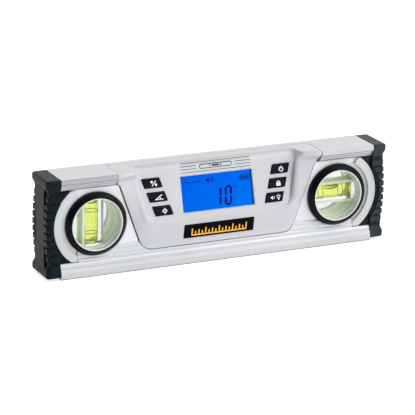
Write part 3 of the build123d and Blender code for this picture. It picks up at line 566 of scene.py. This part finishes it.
def cell_material():
    """Plain wrapped cell: dark sleeve with a pale band near one end."""
    m, nt, out = node_material("cell_wrap")
    p = nt.nodes.new("ShaderNodeBsdfPrincipled")
    tc = nt.nodes.new("ShaderNodeTexCoord")
    sep = nt.nodes.new("ShaderNodeSeparateXYZ")
    nt.links.new(tc.outputs["Object"], sep.inputs["Vector"])
    pos = map_range(nt, sep.outputs["X"], -0.0225, 0.0225, 0.0, 1.0)
    fine = noise(nt, obj_coords(nt), 900.0)
    sleeve = ramp(nt, pos, [(0.0, (0.030, 0.033, 0.038)), (0.70, (0.034, 0.037, 0.042)), (0.705, (0.46, 0.47, 0.48)),
                            (0.735, (0.46, 0.47, 0.48)), (0.74, (0.030, 0.033, 0.038)), (1.0, (0.036, 0.039, 0.044))])
    nt.links.new(sleeve, p.inputs["Base Color"])
    nt.links.new(map_range(nt, fine, 0.3, 0.7, 0.22, 0.30), p.inputs["Roughness"])
    nt.links.new(p.outputs["BSDF"], out.inputs["Surface"])
    return m


M_CELL = cell_material()
M_BOARD = board_material()
M_LCD = lcd_material()

BY_SLOT = {"anodised_aluminium": M_RAIL, "nickel_plate": M_NICKEL, "silver_plastic": M_HOUSING, "cover_plastic": M_COVER,
           "cap_rubber": M_CAP, "black_plastic": M_RING, "key_rubber": M_KEY, "plunger_plastic": M_PLUNGER,
           "white_plastic": M_WHITE, "clear_acrylic": M_BLOCK, "clear_window": M_WINDOW, "vial_liquid": M_LIQUID,
           "vial_air": M_AIR, "lcd_glass": M_LCD, "light_guide": M_GUIDE, "black_rubber": M_STRIP, "board_green": M_BOARD,
           "chip_black": M_CHIP, "switch_black": M_SWITCH, "cell_wrap": M_CELL, "spring_steel": M_NICKEL,
           "screw_steel": M_STEEL, "lead_red": M_RED, "lead_black": M_BLACK}
SLOT_OF = {s["node"]: s["material_slot"] for s in frame["record"]["subparts"]}
for name, ob in NODES.items():
    dress(ob, BY_SLOT[SLOT_OF[name]])
dress(NODES["badge_plate"], M_PLATE)
# the right cap gets the lighter copy of the cap rubber: painted light
dress(NODES["end_cap_right"], M_CAP_PAINTED_LIT)
for side in ("left", "right"):
    dress(NODES["vial_lens_rear_" + side], M_REAR)
dress(NODES["display_window"], M_DISPLAY)
# green bands in the bores are painted reflection of the vials; the last colour is painted shade on the far rail's front
# face
dress(NODES["vial_carrier_left"], carrier_material("carrier_plumb", "X", -0.089, (0.25, 0.29, 0.35)))
dress(NODES["vial_carrier_right"], carrier_material("carrier_level", "Z", 0.0352, (0.58, 0.61, 0.57)))


def soften(ob, width, angle=35.0, segments=2):
    """Small moulded or machined radius on the edges of a solid."""
    w = ob.modifiers.new("join", "WELD")
    w.merge_threshold = 0.000002
    b = ob.modifiers.new("edge", "BEVEL")
    b.width = width * MM
    b.segments = segments
    b.limit_method = "ANGLE"
    b.angle_limit = math.radians(angle)
    b.use_clamp_overlap = True
    b.harden_normals = False
    b.miter_outer = "MITER_ARC"


# ------------------------------------------------------------------ front housing: moulded skin
def sstep(a, b, x):
    t = np.clip((x - a) / (b - a), 0, 1)
    return t * t * (3 - 2 * t)


def half_width(z, inset=0.0):
    """Outline of the module: rounded lower corners, leaning sides that step out a little at the top flange."""
    x = 57.0 + (z - 18.5) * 0.365 - inset * 1.0645
    x = np.minimum(x + 1.1 * sstep(58.9, 60.1, z), MOD_TOP_HX - inset)
    arc = 48.62 + np.sqrt(np.clip((9.0 - inset) ** 2 - (z - 21.8) ** 2, 0, None))
    return np.where(z < 21.8 - 0.343 * (9.0 - inset), np.minimum(arc, x), x)


def x_ridge(z):
    return 51.6 + (z - 31.5) * 0.235


def soft_max(a, b, k):
    return 0.5 * (a + b + np.sqrt((a - b) ** 2 + k * k))


def recess_edge(x, z):
    """Signed distance from the edge of the sunk display panel, rounded at its lower corners."""
    d1 = (np.abs(x) - x_ridge(z)) / math.hypot(1.0, 0.235) + RECESS_R
    d2 = CREASE_Z + 0.6 - z + RECESS_R
    return np.minimum(np.maximum(d1, d2), 0) + np.hypot(np.maximum(d1, 0), np.maximum(d2, 0)) - RECESS_R


def y_face(x, z):
    ax = np.abs(x)
    apron = Y_CREASE + (CREASE_Z - z) * APRON_SLOPE
    panel = PANEL_Y0 + (z - PANEL_Z0) * PANEL_SLOPE
    ridge_line = Y_CREASE + (z - CREASE_Z) * RIDGE_SLOPE
    base = soft_max(panel, apron, 0.45)
    ridge = soft_max(ridge_line, apron, 0.45)
    xr, w = x_ridge(z), np.minimum(57.0 + (z - 18.5) * 0.365, MOD_TOP_HX)
    q = ax - xr
    t = np.clip(q / np.maximum(w - xr, 1.0), 0, 1)
    low = ridge + (SIDE_Y - ridge) * (0.35 * t + 0.65 * t * t)
    # shoulder under the top flange: it comes forward beside the panel and reaches the face of the rail at its outer end
    up = sstep(60.9, 66.1, z) * (0.56 + 0.44 * sstep(60.5, 74.0, ax))
    outer = low * (1 - up) + SHOULDER_Y * up
    sd = recess_edge(x, z)
    # low bead along the edge of the recess, fading towards the top
    outer = outer - (0.4 + 0.65 * sstep(-54.0, -36.0, -z)) * sstep(29.0, 34.0, z) * np.exp(-((np.maximum(sd, 0) - 1.6) / 2.2) ** 2)
    # the foot turns out to meet the shoulder of the rail
    outer = outer - 0.95 * sstep(-16.6, -12.9, -z)
    # the panel lifts softly to a narrow foot, then the wall rises steeply and rounds over into the flank
    k = np.clip((sd + WALL_FOOT) / WALL_FOOT, 0, 1)
    run = np.clip(3.2 + (z - 34.0) * 0.09, 3.0, 5.2)
    t = np.clip((sd + 0.05) / run, 0, 1)
    rise = 0.56 * np.clip((sd + 0.25) / 0.4, 0, 1) + 0.44 * (1 - (1 - t) ** 3)
    return base + (outer - base) * (0.13 * k ** 2 + 0.87 * rise)


def housing_skin():
    R, SKIRT = 0.45, 5.2
    fr_a = np.linspace(0, 1, 56)
    fr_b = np.linspace(0, 1, 45)[1:]
    fr_c = np.linspace(0, 1, 31)[1:]
    cols = [("a", f) for f in fr_a] + [("b", f) for f in fr_b] + [("c", f) for f in fr_c]
    cols = [(-1, z, f) for z, f in reversed(cols)] + [(1, z, f) for z, f in cols[1:]]

    def x_of(col, z):
        sg, zone, f = col
        w = half_width(z, R)
        b = np.minimum(x_ridge(z) + 3.4, w - 0.6)
        a = b - 6.4
        return float(sg * {"a": a * f, "b": a + (b - a) * f, "c": b + (w - b) * f}[zone])

    z0 = MOD_BOT + R
    grid = []
    for col in cols:
        ws = float(sstep(57.2, 61.6, abs(x_of(col, 66.0))))
        z1 = 62.6 * (1 - ws) + 67.3 * ws
        line = []
        for v in np.linspace(0, 1, 140):
            z = z0 + v * (z1 - z0)
            x = x_of(col, z)
            line.append((x, float(y_face(x, z)), z))
        n_front = len(line)
        # crown over to the top face
        yc = float(y_face(x_of(col, HEIGHT - 0.4), HEIGHT))
        y2 = 3.4 * (1 - ws) + (yc + 1.1) * ws
        for k in range(1, 15):
            t = k / 14
            y = (1 - t) ** 2 * line[n_front - 1][1] + 2 * t * (1 - t) * yc + t * t * y2
            z = (1 - t) ** 2 * z1 + 2 * t * (1 - t) * HEIGHT + t * t * HEIGHT
            line.append((x_of(col, min(z, HEIGHT - 0.4)), y, z))
        xe = x_of(col, HEIGHT - 0.4)
        for k in range(1, 6):
            line.append((xe, y2 + (7.1 - y2) * k / 5, HEIGHT))
        line += [(xe, 7.3, HEIGHT - 0.1), (xe, 7.4, HEIGHT - 0.4), (xe, 7.4, HEIGHT - 3.0)]
        grid.append(line)
    g = np.array(grid)                      # columns x rows x 3
    nc, nr = g.shape[:2]
    verts = g.reshape(-1, 3).tolist()
    faces = [(c * nr + r, (c + 1) * nr + r, (c + 1) * nr + r + 1, c * nr + r + 1)
             for c in range(nc - 1) for r in range(nr - 1)]
    # rim round the sides and foot: rounded edge, then a skirt into the body
    loop = [(0, r) for r in range(nr - 1, -1, -1)] + [(c, 0) for c in range(1, nc)] + [(nc - 1, r) for r in range(1, nr)]
    along = np.gradient(g, axis=1)
    prev = [c * nr + r for c, r in loop]
    out_dir, in_dir = [], []
    for c, r in loop:
        x, y, z = g[c, r]
        sg = -1.0 if c < nc / 2 else 1.0
        if r == 0 and abs(x) < 48.63:
            out_dir.append((0, 0, -1.0))
        elif r < n_front and z < 21.8 - 0.343 * (9.0 - R):
            d = np.array([abs(x) - 48.62, z - 21.8])
            d /= np.linalg.norm(d)
            out_dir.append((sg * d[0], 0, d[1]))
        elif r < n_front and z < 58.9:
            out_dir.append((sg * 0.9394, 0, -0.3429))
        else:
            out_dir.append((sg, 0, 0))
        if r < n_front:
            in_dir.append((0, 1.0, 0))
        else:
            t = along[c, r] / np.linalg.norm(along[c, r])
            in_dir.append(tuple(np.cross(t, (1.0, 0, 0))))
    out_dir, in_dir = np.array(out_dir), np.array(in_dir)
    base = np.array([g[c, r] for c, r in loop])
    # depth of the skirt at each point, less in the upper corners so that it doesn't fold over itself
    reach = []
    for c, r in loop:
        y, z = g[c, r, 1:]
        crown_y = g[c, n_front + 13, 1]
        if r < n_front:
            reach.append(SKIRT if z < 63.0 else 0.92 * (crown_y + 67.3 - z - y))
        elif r < n_front + 14:
            reach.append(0.7)
        elif y < 7.05:
            reach.append(min(SKIRT, 0.92 * (1.1 + y - crown_y)))
        else:
            reach.append(0.2 if z > 66.0 else 2.0)
    reach = np.array(reach)
    edge = np.minimum(R, 0.6 * reach)
    steps = [(R * math.sin(math.pi / 2 * k / 5), R * (1 - math.cos(math.pi / 2 * k / 5))) for k in range(1, 6)]
    steps += [(R, R + 1.6), (R, SKIRT)]
    for o, d in steps:
        deep = d * edge / R if d <= R else edge + (reach - edge) * (d - R) / (SKIRT - R)
        ring = base + out_dir * o + in_dir * deep[:, None]
        start = len(verts)
        verts += ring.tolist()
        for i in range(len(loop) - 1):
            faces.append((prev[i], prev[i + 1], start + i + 1, start + i))
        prev = list(range(start, start + len(loop)))
    return mesh_from("front_housing_skin", verts, faces, 60)


def bake_modifiers(ob):
    dg = bpy.context.evaluated_depsgraph_get()
    me = bpy.data.meshes.new_from_object(ob.evaluated_get(dg))
    ob.modifiers.clear()
    old = ob.data
    ob.data = me
    bpy.data.meshes.remove(old)


def prism_on(place, levels):
    """Closed stack of outlines on a plane: levels are (points, height out of the face), from the front back."""
    verts, faces = [], []
    n = len(levels[0][0])
    for pts, h in levels:
        verts += [place.at(x, s, h) for x, s in pts]
    for k in range(len(levels) - 1):
        for i in range(n):
            j = (i + 1) % n
            faces.append((k * n + i, k * n + j, (k + 1) * n + j, (k + 1) * n + i))
    faces.append(tuple(range(n))[::-1])
    faces.append(tuple((len(levels) - 1) * n + i for i in range(n)))
    return verts, faces


def key_outline(cx, cs, sgn, grow, r):
    w, h = KEY_W / 2 + grow, KEY_H / 2 + grow
    sh = KEY_SHEAR * sgn
    pts = [(cx - w - sh * h, cs - h), (cx + w - sh * h, cs - h), (cx + w + sh * h, cs + h), (cx - w + sh * h, cs + h)]
    return rounded_poly(pts, r)


def cut(ob, place, levels):
    v, f = prism_on(place, levels)
    c = mesh_from("cutter", v, f)
    m = ob.modifiers.new("cut", "BOOLEAN")
    m.object = c
    m.operation = "DIFFERENCE"
    m.solver = "EXACT"
    bake_modifiers(ob)
    bpy.data.objects.remove(c)


def tidy(ob):
    """Merge the slivers that the cuts leave behind."""
    bm = bmesh.new()
    bm.from_mesh(ob.data)
    bmesh.ops.dissolve_degenerate(bm, dist=0.0005 * MM, edges=bm.edges[:])
    bmesh.ops.triangulate(bm, faces=[f for f in bm.faces if len(f.verts) > 4], ngon_method="BEAUTY")
    bmesh.ops.dissolve_degenerate(bm, dist=0.0005 * MM, edges=bm.edges[:])
    bm.to_mesh(ob.data)
    bm.free()


housing = housing_skin()
s = housing.modifiers.new("wall", "SOLIDIFY")
s.thickness = 1.6 * MM
s.offset = -1.0
s.use_even_offset = False
s.use_rim = True
bake_modifiers(housing)
lcd = lambda g, r: rounded_rect(-LCD_HX - g, LCD_HX + g, LCD_S0 - g, LCD_S1 + g, r)
cut(housing, PANEL, [(lcd(1.0, 1.2), 1.0), (lcd(0.62, 0.9), 0.0), (lcd(0.1, 0.5), -0.62), (lcd(0.1, 0.5), -4.0)])
cut(housing, PANEL, [(rounded_rect(-28.2, 28.2, -14.2, 14.2, 0.8), -1.0), (rounded_rect(-28.2, 28.2, -14.2, 14.2, 0.8), -4.0)])
for side, sgn in (("L", -1), ("R", 1)):
    for kx, ks in KEYS:
        o = lambda g: key_outline(sgn * kx, ks, sgn, g, 0.7)
        cut(housing, PANEL, [(o(0.62), 0.6), (o(0.42), 0.0), (o(0.2), -0.24), (o(0.2), -4.0)])
pl = lambda g, r: rounded_rect(-25.7 - 0.15 - g, 25.7 + 0.15 + g, -4.8 - 0.15 - g, 4.8 + 0.15 + g, r)
cut(housing, APRON, [(pl(0.5, 1.0), 0.7), (pl(0.15, 0.8), 0.0), (pl(0.0, 0.6), -0.15), (pl(0.0, 0.6), -0.58)])
finish_shading(housing.data, 38)
dress(housing, M_HOUSING)
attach(housing, ROOT)
tidy(housing)
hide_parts("front_housing")


# thin dark strip in the seam between the module and the vial covers, standing in for the shade in the gap: painted
# shade
gv, gf = [], []
for sg in (-1, 1):
    zs = np.linspace(18.7, 59.0, 30)
    for z in zs:
        w = float(half_width(z))
        base_i = len(gv)
        gv += [(sg * (w + 0.04), -9.0, z), (sg * (w + 0.66), -8.96, z), (sg * (w + 0.8), -8.81, z), (sg * (w + 0.04), -8.81, z)]
        if z > zs[0]:
            b0 = base_i - 4
            gf += [(b0 + i, b0 + (i + 1) % 4, base_i + (i + 1) % 4, base_i + i) for i in range(4)]
        else:
            gf.append((base_i, base_i + 1, base_i + 2, base_i + 3))
    gf.append((len(gv) - 4, len(gv) - 3, len(gv) - 2, len(gv) - 1))
seam_shade = mesh_from("seam_painted_shade", gv, gf, 30)
dress(seam_shade, M_STRIP)
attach(seam_shade, ROOT)


# ------------------------------------------------------------------ prints on the module
def print_piece(pr, name, mat, body):
    ob = pr.make(name)
    dress(ob, mat)
    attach(ob, body)
    return ob


stripes = Print(PANEL, -0.02, 0.03)
for k, sv in enumerate((20.55, 18.4, 16.4, 14.25)):
    spans = [(-26.0, 26.0)] if k in (0, 3) else [(-26.0, -14.5), (14.5, 26.0)]
    for a, b in spans:
        stripes.bar(a, b, sv - 0.19, sv + 0.19, 0.18)
# plain pictogram of a vial between the middle lines
stripes.stroke(rounded_rect(-11.8, 11.8, 16.0, 18.8, 1.3), 0.5, True)
stripes.bar(-4.3, -3.8, 16.2, 18.6)
stripes.bar(3.8, 4.3, 16.2, 18.6)
stripes.fill(rounded_rect(-2.8, 2.8, 16.7, 18.1, 0.69))
print_piece(stripes, "panel_stripes", M_INK, ROOT)

ticks = Print(APRON, 0.38, 0.43)
for k in range(-8, 9):
    h = 5.0 if k % 4 == 0 else (3.9 if k % 2 == 0 else 2.9)
    ticks.bar(k * 2.5 - 0.42, k * 2.5 + 0.42, -3.0, -3.0 + h, 0.2)
ticks.bar(-20.42, 20.42, -3.4, -2.5, 0.2)
print_piece(ticks, "plate_scale", M_SCALE, ROOT)


def icon_for(name):
    sgn = -1 if name in ("unit", "reference", "calibrate") else 1
    i = {"unit": 0, "reference": 1, "calibrate": 2, "power": 0, "hold": 1, "sound": 2}[name]
    kx, ks = KEYS[i]
    cx = sgn * kx + (1.1 if sgn < 0 else 0.5)
    ks -= 0.3
    pr = Print(PANEL, KEY_PROUD - 0.02, KEY_PROUD + 0.03)
    w = 0.55
    if name == "unit":                                # per cent
        pr.disc(cx - 1.45, ks + 1.0, 0.85)
        pr.stroke([(cx - 1.5, ks - 1.75), (cx + 1.5, ks + 1.75)], w)
        pr.disc(cx + 1.45, ks - 1.0, 0.85)
    elif name == "reference":                         # angle from a base line
        pr.stroke([(cx + 3.0, ks - 1.45), (cx - 2.6, ks - 1.45), (cx + 2.2, ks + 1.55)], w)
        pr.arc(cx - 2.6, ks - 1.45, 3.4, 2, 30, w, 10)
    elif name == "calibrate":                         # target cross
        pr.arc(cx, ks, 1.15, 0, 360, w)
        for a in range(4):
            d = Vector((math.cos(a * math.pi / 2), math.sin(a * math.pi / 2)))
            pr.stroke([(cx + d.x * 0.55, ks + d.y * 0.55), (cx + d.x * 1.95, ks + d.y * 1.95)], w)
    elif name == "power":
        pr.arc(cx, ks - 0.15, 1.45, 122, 418, 0.55)
        pr.stroke([(cx, ks + 0.1), (cx, ks + 1.95)], 0.55)
    elif name == "hold":                              # padlock
        pr.bar(cx - 1.6, cx + 1.6, ks - 1.75, ks + 0.25, 0.25)
        pr.arc(cx, ks + 0.3, 1.05, 0, 180, w, 14)
        pr.stroke([(cx - 1.05, ks + 0.32), (cx - 1.05, ks + 0.1)], w)
        pr.stroke([(cx + 1.05, ks + 0.32), (cx + 1.05, ks + 0.1)], w)
    else:                                             # loudspeaker and lamp
        pr.fill([(cx - 3.6, ks - 0.5), (cx - 2.9, ks - 0.5), (cx - 2.0, ks - 1.35), (cx - 2.0, ks + 1.35),
                 (cx - 2.9, ks + 0.5), (cx - 3.6, ks + 0.5)])
        pr.arc(cx - 2.2, ks, 1.25, -42, 42, 0.38, 10)
        pr.arc(cx + 2.2, ks + 0.35, 0.95, 0, 360, 0.4)
        pr.bar(cx + 1.75, cx + 2.65, ks - 1.75, ks - 0.9, 0.15)
        for a in (20, 90, 160):
            d = Vector((math.cos(math.radians(a)), math.sin(math.radians(a))))
            pr.stroke([(cx + 2.2 + d.x * 1.45, ks + 0.35 + d.y * 1.45), (cx + 2.2 + d.x * 1.95, ks + 0.35 + d.y * 1.95)], 0.34)
    print_piece(pr, "icon_" + name, M_ICON, name + "_button")


for nm in KEY_NAMES.values():
    icon_for(nm)

# display segments, just in front of the lit glass
seg = Print(PANEL, -2.09, -2.03)


def digit(pr, x, s, w, h, t, on, lean=0.1):
    """Seven-segment figure with its lower left corner at x, s."""
    def sh(pts):
        return [(px + (ps - s) * lean, ps) for px, ps in pts]
    g = t * 0.05
    mid = s + h / 2
    hor = lambda sc: sh([(x + t / 2 + g, sc), (x + t + g * 0.6, sc + t / 2), (x + w - t - g * 0.6, sc + t / 2),
                         (x + w - t / 2 - g, sc), (x + w - t - g * 0.6, sc - t / 2), (x + t + g * 0.6, sc - t / 2)])
    ver = lambda xc, s0, s1: sh([(xc, s0 + g), (xc + t / 2, s0 + t / 2 + g), (xc + t / 2, s1 - t / 2 - g), (xc, s1 - g),
                                 (xc - t / 2, s1 - t / 2 - g), (xc - t / 2, s0 + t / 2 + g)])
    parts = {"a": hor(s + h - t / 2), "g": hor(mid), "d": hor(s + t / 2),
             "f": ver(x + t / 2, mid, s + h - t / 2), "b": ver(x + w - t / 2, mid, s + h - t / 2),
             "e": ver(x + t / 2, s + t / 2, mid), "c": ver(x + w - t / 2, s + t / 2, mid)}
    for k in on:
        pr.fill(parts[k])


digit(seg, -2.7, -10.75, 5.4, 13.6, 1.75, "bc")
digit(seg, 4.8, -10.75, 5.6, 13.6, 1.75, "abcdef")
seg.arc(13.7, 1.6, 0.62, 0, 360, 0.38)
# loudspeaker
seg.fill([(-7.3, 7.0), (-6.3, 7.0), (-5.0, 5.6), (-5.0, 9.8), (-6.3, 8.4), (-7.3, 8.4)])
for r in (1.6, 2.8, 4.0):
    seg.arc(-5.6, 7.7, r, -38, 38, 0.5, 10)
# small level figure
seg.stroke([(-22.6, 7.4), (-10.6, 7.4)], 0.5)
seg.fill([(-22.6, 7.6), (-19.6, 7.6), (-22.6, 8.5)])
# battery
seg.stroke([(18.4, 5.4), (24.8, 5.4), (24.8, 8.8), (18.4, 8.8)], 0.45, True)
seg.bar(17.6, 18.2, 6.3, 7.9)
for k in range(3):
    seg.bar(19.2 + k * 1.8, 20.4 + k * 1.8, 6.0, 8.2)
print_piece(seg, "display_segments", M_SEGMENT, ROOT)


# ------------------------------------------------------------------ vials
def revolve_x(name, profile, steps=48, angle=40):
    """Closed turned piece: profile of (along, radius), ends on the axis, turned about the local x axis."""
    verts, faces = [], []
    rings = []
    for a, r in profile:
        if r < 1e-6:
            rings.append([len(verts)])
            verts.append((a, 0, 0))
        else:
            rings.append(list(range(len(verts), len(verts) + steps)))
            verts += [(a, r * math.cos(2 * math.pi * i / steps), r * math.sin(2 * math.pi * i / steps)) for i in range(steps)]
    for p, q in zip(rings, rings[1:]):
        for i in range(steps):
            j = (i + 1) % steps
            if len(p) == 1 and len(q) == 1:
                continue
            if len(p) == 1:
                faces.append((p[0], q[j], q[i]))
            elif len(q) == 1:
                faces.append((p[i], p[j], q[0]))
            else:
                faces.append((p[i], p[j], q[j], q[i]))
    return verts, faces


def to_vial(verts, side):
    """Local vial axis along x: the level vial lies along the rail, the plumb vial stands."""
    if side == "right":
        return [(VIAL_X + x, y, VIAL_Z + z) for x, y, z in verts]
    return [(-VIAL_X - z, y, VIAL_Z + x) for x, y, z in verts]


def rounded_block(l, w, r, seg=4):
    """Box along x with rounded edges, as a closed grid of points on its surface."""
    bm = bmesh.new()
    bmesh.ops.create_cube(bm, size=1.0)
    bmesh.ops.scale(bm, vec=(l, w, w), verts=bm.verts)
    bmesh.ops.bevel(bm, geom=bm.edges[:], offset=r, segments=seg, profile=0.5, affect="EDGES")
    verts = [tuple(v.co) for v in bm.verts]
    faces = [tuple(v.index for v in f.verts) for f in bm.faces]
    bm.free()
    return verts, faces


def barrel(half, r_mid, r_end, edge, n=13):
    prof = [(-half, 0.0), (-half, r_end - edge)]
    for k in range(1, 4):
        a = math.pi / 2 * k / 4
        prof.append((-half + edge * (1 - math.cos(a)), r_end - edge + edge * math.sin(a)))
    for k in range(n):
        t = -1 + 2 * k / (n - 1)
        prof.append((t * (half - edge), r_end + (r_mid - r_end) * (1 - t * t)))
    for k in range(3, 0, -1):
        a = math.pi / 2 * k / 4
        prof.append((half - edge * (1 - math.cos(a)), r_end - edge + edge * math.sin(a)))
    return prof + [(half, r_end - edge), (half, 0.0)]


def vial(side):
    v, f = rounded_block(35.0, 11.6, 0.6)
    blk = mesh_from("vial_block_" + side, to_vial(v, side), f, 40)
    dress(blk, M_BLOCK)
    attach(blk, ROOT)
    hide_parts("vial_tube_" + side)
    v, f = revolve_x("liquid", barrel(15.4 if side == "left" else 15.0, 4.58, 4.45, 2.2 if side == "left" else 2.4), 64)
    liq = mesh_from("vial_spirit_" + side, to_vial(v, side), f, 50)
    dress(liq, M_LIQUID)
    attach(liq, ROOT)
    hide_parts("vial_liquid_" + side)
    verts, faces = [], []
    for c in ((-7.5, 7.5) if side == "right" else (-8.5, 6.5)):
        prof = [(c - 0.2, 4.61), (c - 0.2, 4.71), (c + 0.2, 4.71), (c + 0.2, 4.61)]
        base, steps = len(verts), 64
        for a, r in prof:
            verts += [(a, r * math.cos(2 * math.pi * i / steps), r * math.sin(2 * math.pi * i / steps)) for i in range(steps)]
        for k in range(4):
            for i in range(steps):
                j, k2 = (i + 1) % steps, (k + 1) % 4
                faces.append((base + k * steps + i, base + k * steps + j, base + k2 * steps + j, base + k2 * steps + i))
    mk = mesh_from("vial_marks_" + side, to_vial(verts, side), faces, 40)
    dress(mk, M_MARK)
    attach(mk, ROOT)
    # bubble
    if side == "right":
        prof = [(5.8 * -math.cos(math.pi * k / 24), 2.7 * math.sin(math.pi * k / 24)) for k in range(25)]
        v, f = revolve_x("bubble", prof, 40)
        out = []
        for x, y, z in v:
            z += 3.75
            r = math.hypot(y, z)
            lim = 4.48 - 0.45 * (x / 5.8) ** 2
            if r > lim:
                y, z = y * lim / r, z * lim / r
            out.append((x, y, z))
        v = out
    else:
        lo, hi, r = 15.4 - 3.6, 15.3, 4.33
        prof = [(lo + 0.35, 0.0), (lo + 0.25, 1.6), (lo + 0.05, 3.0)]
        for k in range(0, 6):
            a = math.pi / 2 * k / 5
            prof.append((lo + 1.3 * (1 - math.cos(a)), r - 1.3 + 1.3 * math.sin(a)))
        prof += [(hi - 2.0, r), (hi - 1.0, r - 0.35), (hi - 0.35, r - 1.0), (hi, r - 2.0), (hi, 0.0)]
        v, f = revolve_x("bubble", prof, 48)
    bub = mesh_from("bubble_" + side, to_vial(v, side), f, 60)
    dress(bub, M_AIR)
    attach(bub, "level_bubble" if side == "right" else "plumb_bubble")
    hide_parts("vial_bubble_" + side)


vial("left")
vial("right")

# ------------------------------------------------------------------ edges of the carried-over solids
for nm in ("rail", "end_cap_left", "end_cap_right", "rear_housing", "battery_door"):
    soften(NODES[nm], 0.22)

# ------------------------------------------------------------------ floor, light, camera
floor_me = bpy.data.meshes.new("floor")
S = 6.0
floor_me.from_pydata([(-S, -S, 0), (S, -S, 0), (S, S, 0), (-S, S, 0)], [], [(0, 1, 2, 3)])
floor = add_object("studio_floor", floor_me)
floor.location.z = -0.0001
m, nt, out = node_material("studio_floor")
p = nt.nodes.new("ShaderNodeBsdfPrincipled")
nt.links.new(ramp(nt, noise(nt, obj_coords(nt), 1.5, 2.0), [(0.3, (0.66, 0.66, 0.66)), (0.7, (0.675, 0.675, 0.675))]),
             p.inputs["Base Color"])
p.inputs["Roughness"].default_value = 0.9
p.inputs["Specular IOR Level"].default_value = 0.1
p.inputs["Emission Color"].default_value = (1.0, 1.0, 1.0, 1.0)
p.inputs["Emission Strength"].default_value = 0.70
nt.links.new(p.outputs["BSDF"], out.inputs["Surface"])
dress(floor, m)

world = bpy.data.worlds.new("studio")
scene.world = world
world.use_nodes = True
nt = world.node_tree
nt.nodes.clear()
wo = nt.nodes.new("ShaderNodeOutputWorld")
bg = nt.nodes.new("ShaderNodeBackground")
tc = nt.nodes.new("ShaderNodeTexCoord")


def lobe(direction, lo, hi, level):
    """Soft bright field of the studio round one direction."""
    d = nt.nodes.new("ShaderNodeVectorMath")
    d.operation = "DOT_PRODUCT"
    nt.links.new(tc.outputs["Generated"], d.inputs[0])
    d.inputs[1].default_value = Vector(direction).normalized()
    mr = nt.nodes.new("ShaderNodeMapRange")
    mr.interpolation_type = "SMOOTHSTEP"
    nt.links.new(d.outputs["Value"], mr.inputs["Value"])
    mr.inputs["From Min"].default_value = lo
    mr.inputs["From Max"].default_value = hi
    mr.inputs["To Max"].default_value = level
    return mr.outputs["Result"]


fields = [lobe((0, 1, 0.25), 0.35, 0.8, 1.55), lobe((0.55, -1, 0.22), 0.3, 0.8, 1.60), lobe((-1, 0, 0.35), 0.3, 0.8, 0.09),
          lobe((0, 0, 1), 0.2, 1.0, 0.27)]
total = fields[0]
for f in fields[1:]:
    sm = nt.nodes.new("ShaderNodeMath")
    sm.operation = "ADD"
    nt.links.new(total, sm.inputs[0])
    nt.links.new(f, sm.inputs[1])
    total = sm.outputs[0]
nt.links.new(total, bg.inputs["Strength"])
bg.inputs["Color"].default_value = (0.99, 0.995, 1.0, 1.0)
nt.links.new(bg.outputs["Background"], wo.inputs["Surface"])


def softbox(name, pos, target, size, power, color=(1, 1, 1)):
    li = bpy.data.lights.new(name, "AREA")
    li.shape = "RECTANGLE"
    li.size, li.size_y = size
    li.energy = power
    li.color = color
    ob = add_object(name, li)
    ob.location = pos
    d = Vector(target) - Vector(pos)
    ob.rotation_euler = d.to_track_quat("-Z", "Y").to_euler()
    return ob


softbox("key_light", (0.8, -0.35, 0.9), (0, 0, 0.03), (0.9, 0.9), 6.5)

cam = bpy.data.cameras.new("camera")
cam.sensor_fit = "HORIZONTAL"
cam.sensor_width = 36.0
cam.lens = 207.65
cam.clip_start, cam.clip_end = 0.05, 50.0
cam_ob = add_object("camera", cam)
pos = Vector((-663.928, -1388.000, 516.211)) * MM
aim = Vector((-3.550, 0.0, 33.338)) * MM
fwd = (aim - pos).normalized()
right = fwd.cross(Vector((0, 0, 1))).normalized()
up = right.cross(fwd)
roll = math.radians(1.151)
r2 = right * math.cos(roll) + up * math.sin(roll)
u2 = up * math.cos(roll) - right * math.sin(roll)
rot = Matrix((r2, u2, -fwd)).transposed()
cam_ob.matrix_world = Matrix.Translation(pos) @ rot.to_4x4()
scene.camera = cam_ob

scene.view_settings.view_transform = "Standard"
scene.view_settings.look = "None"
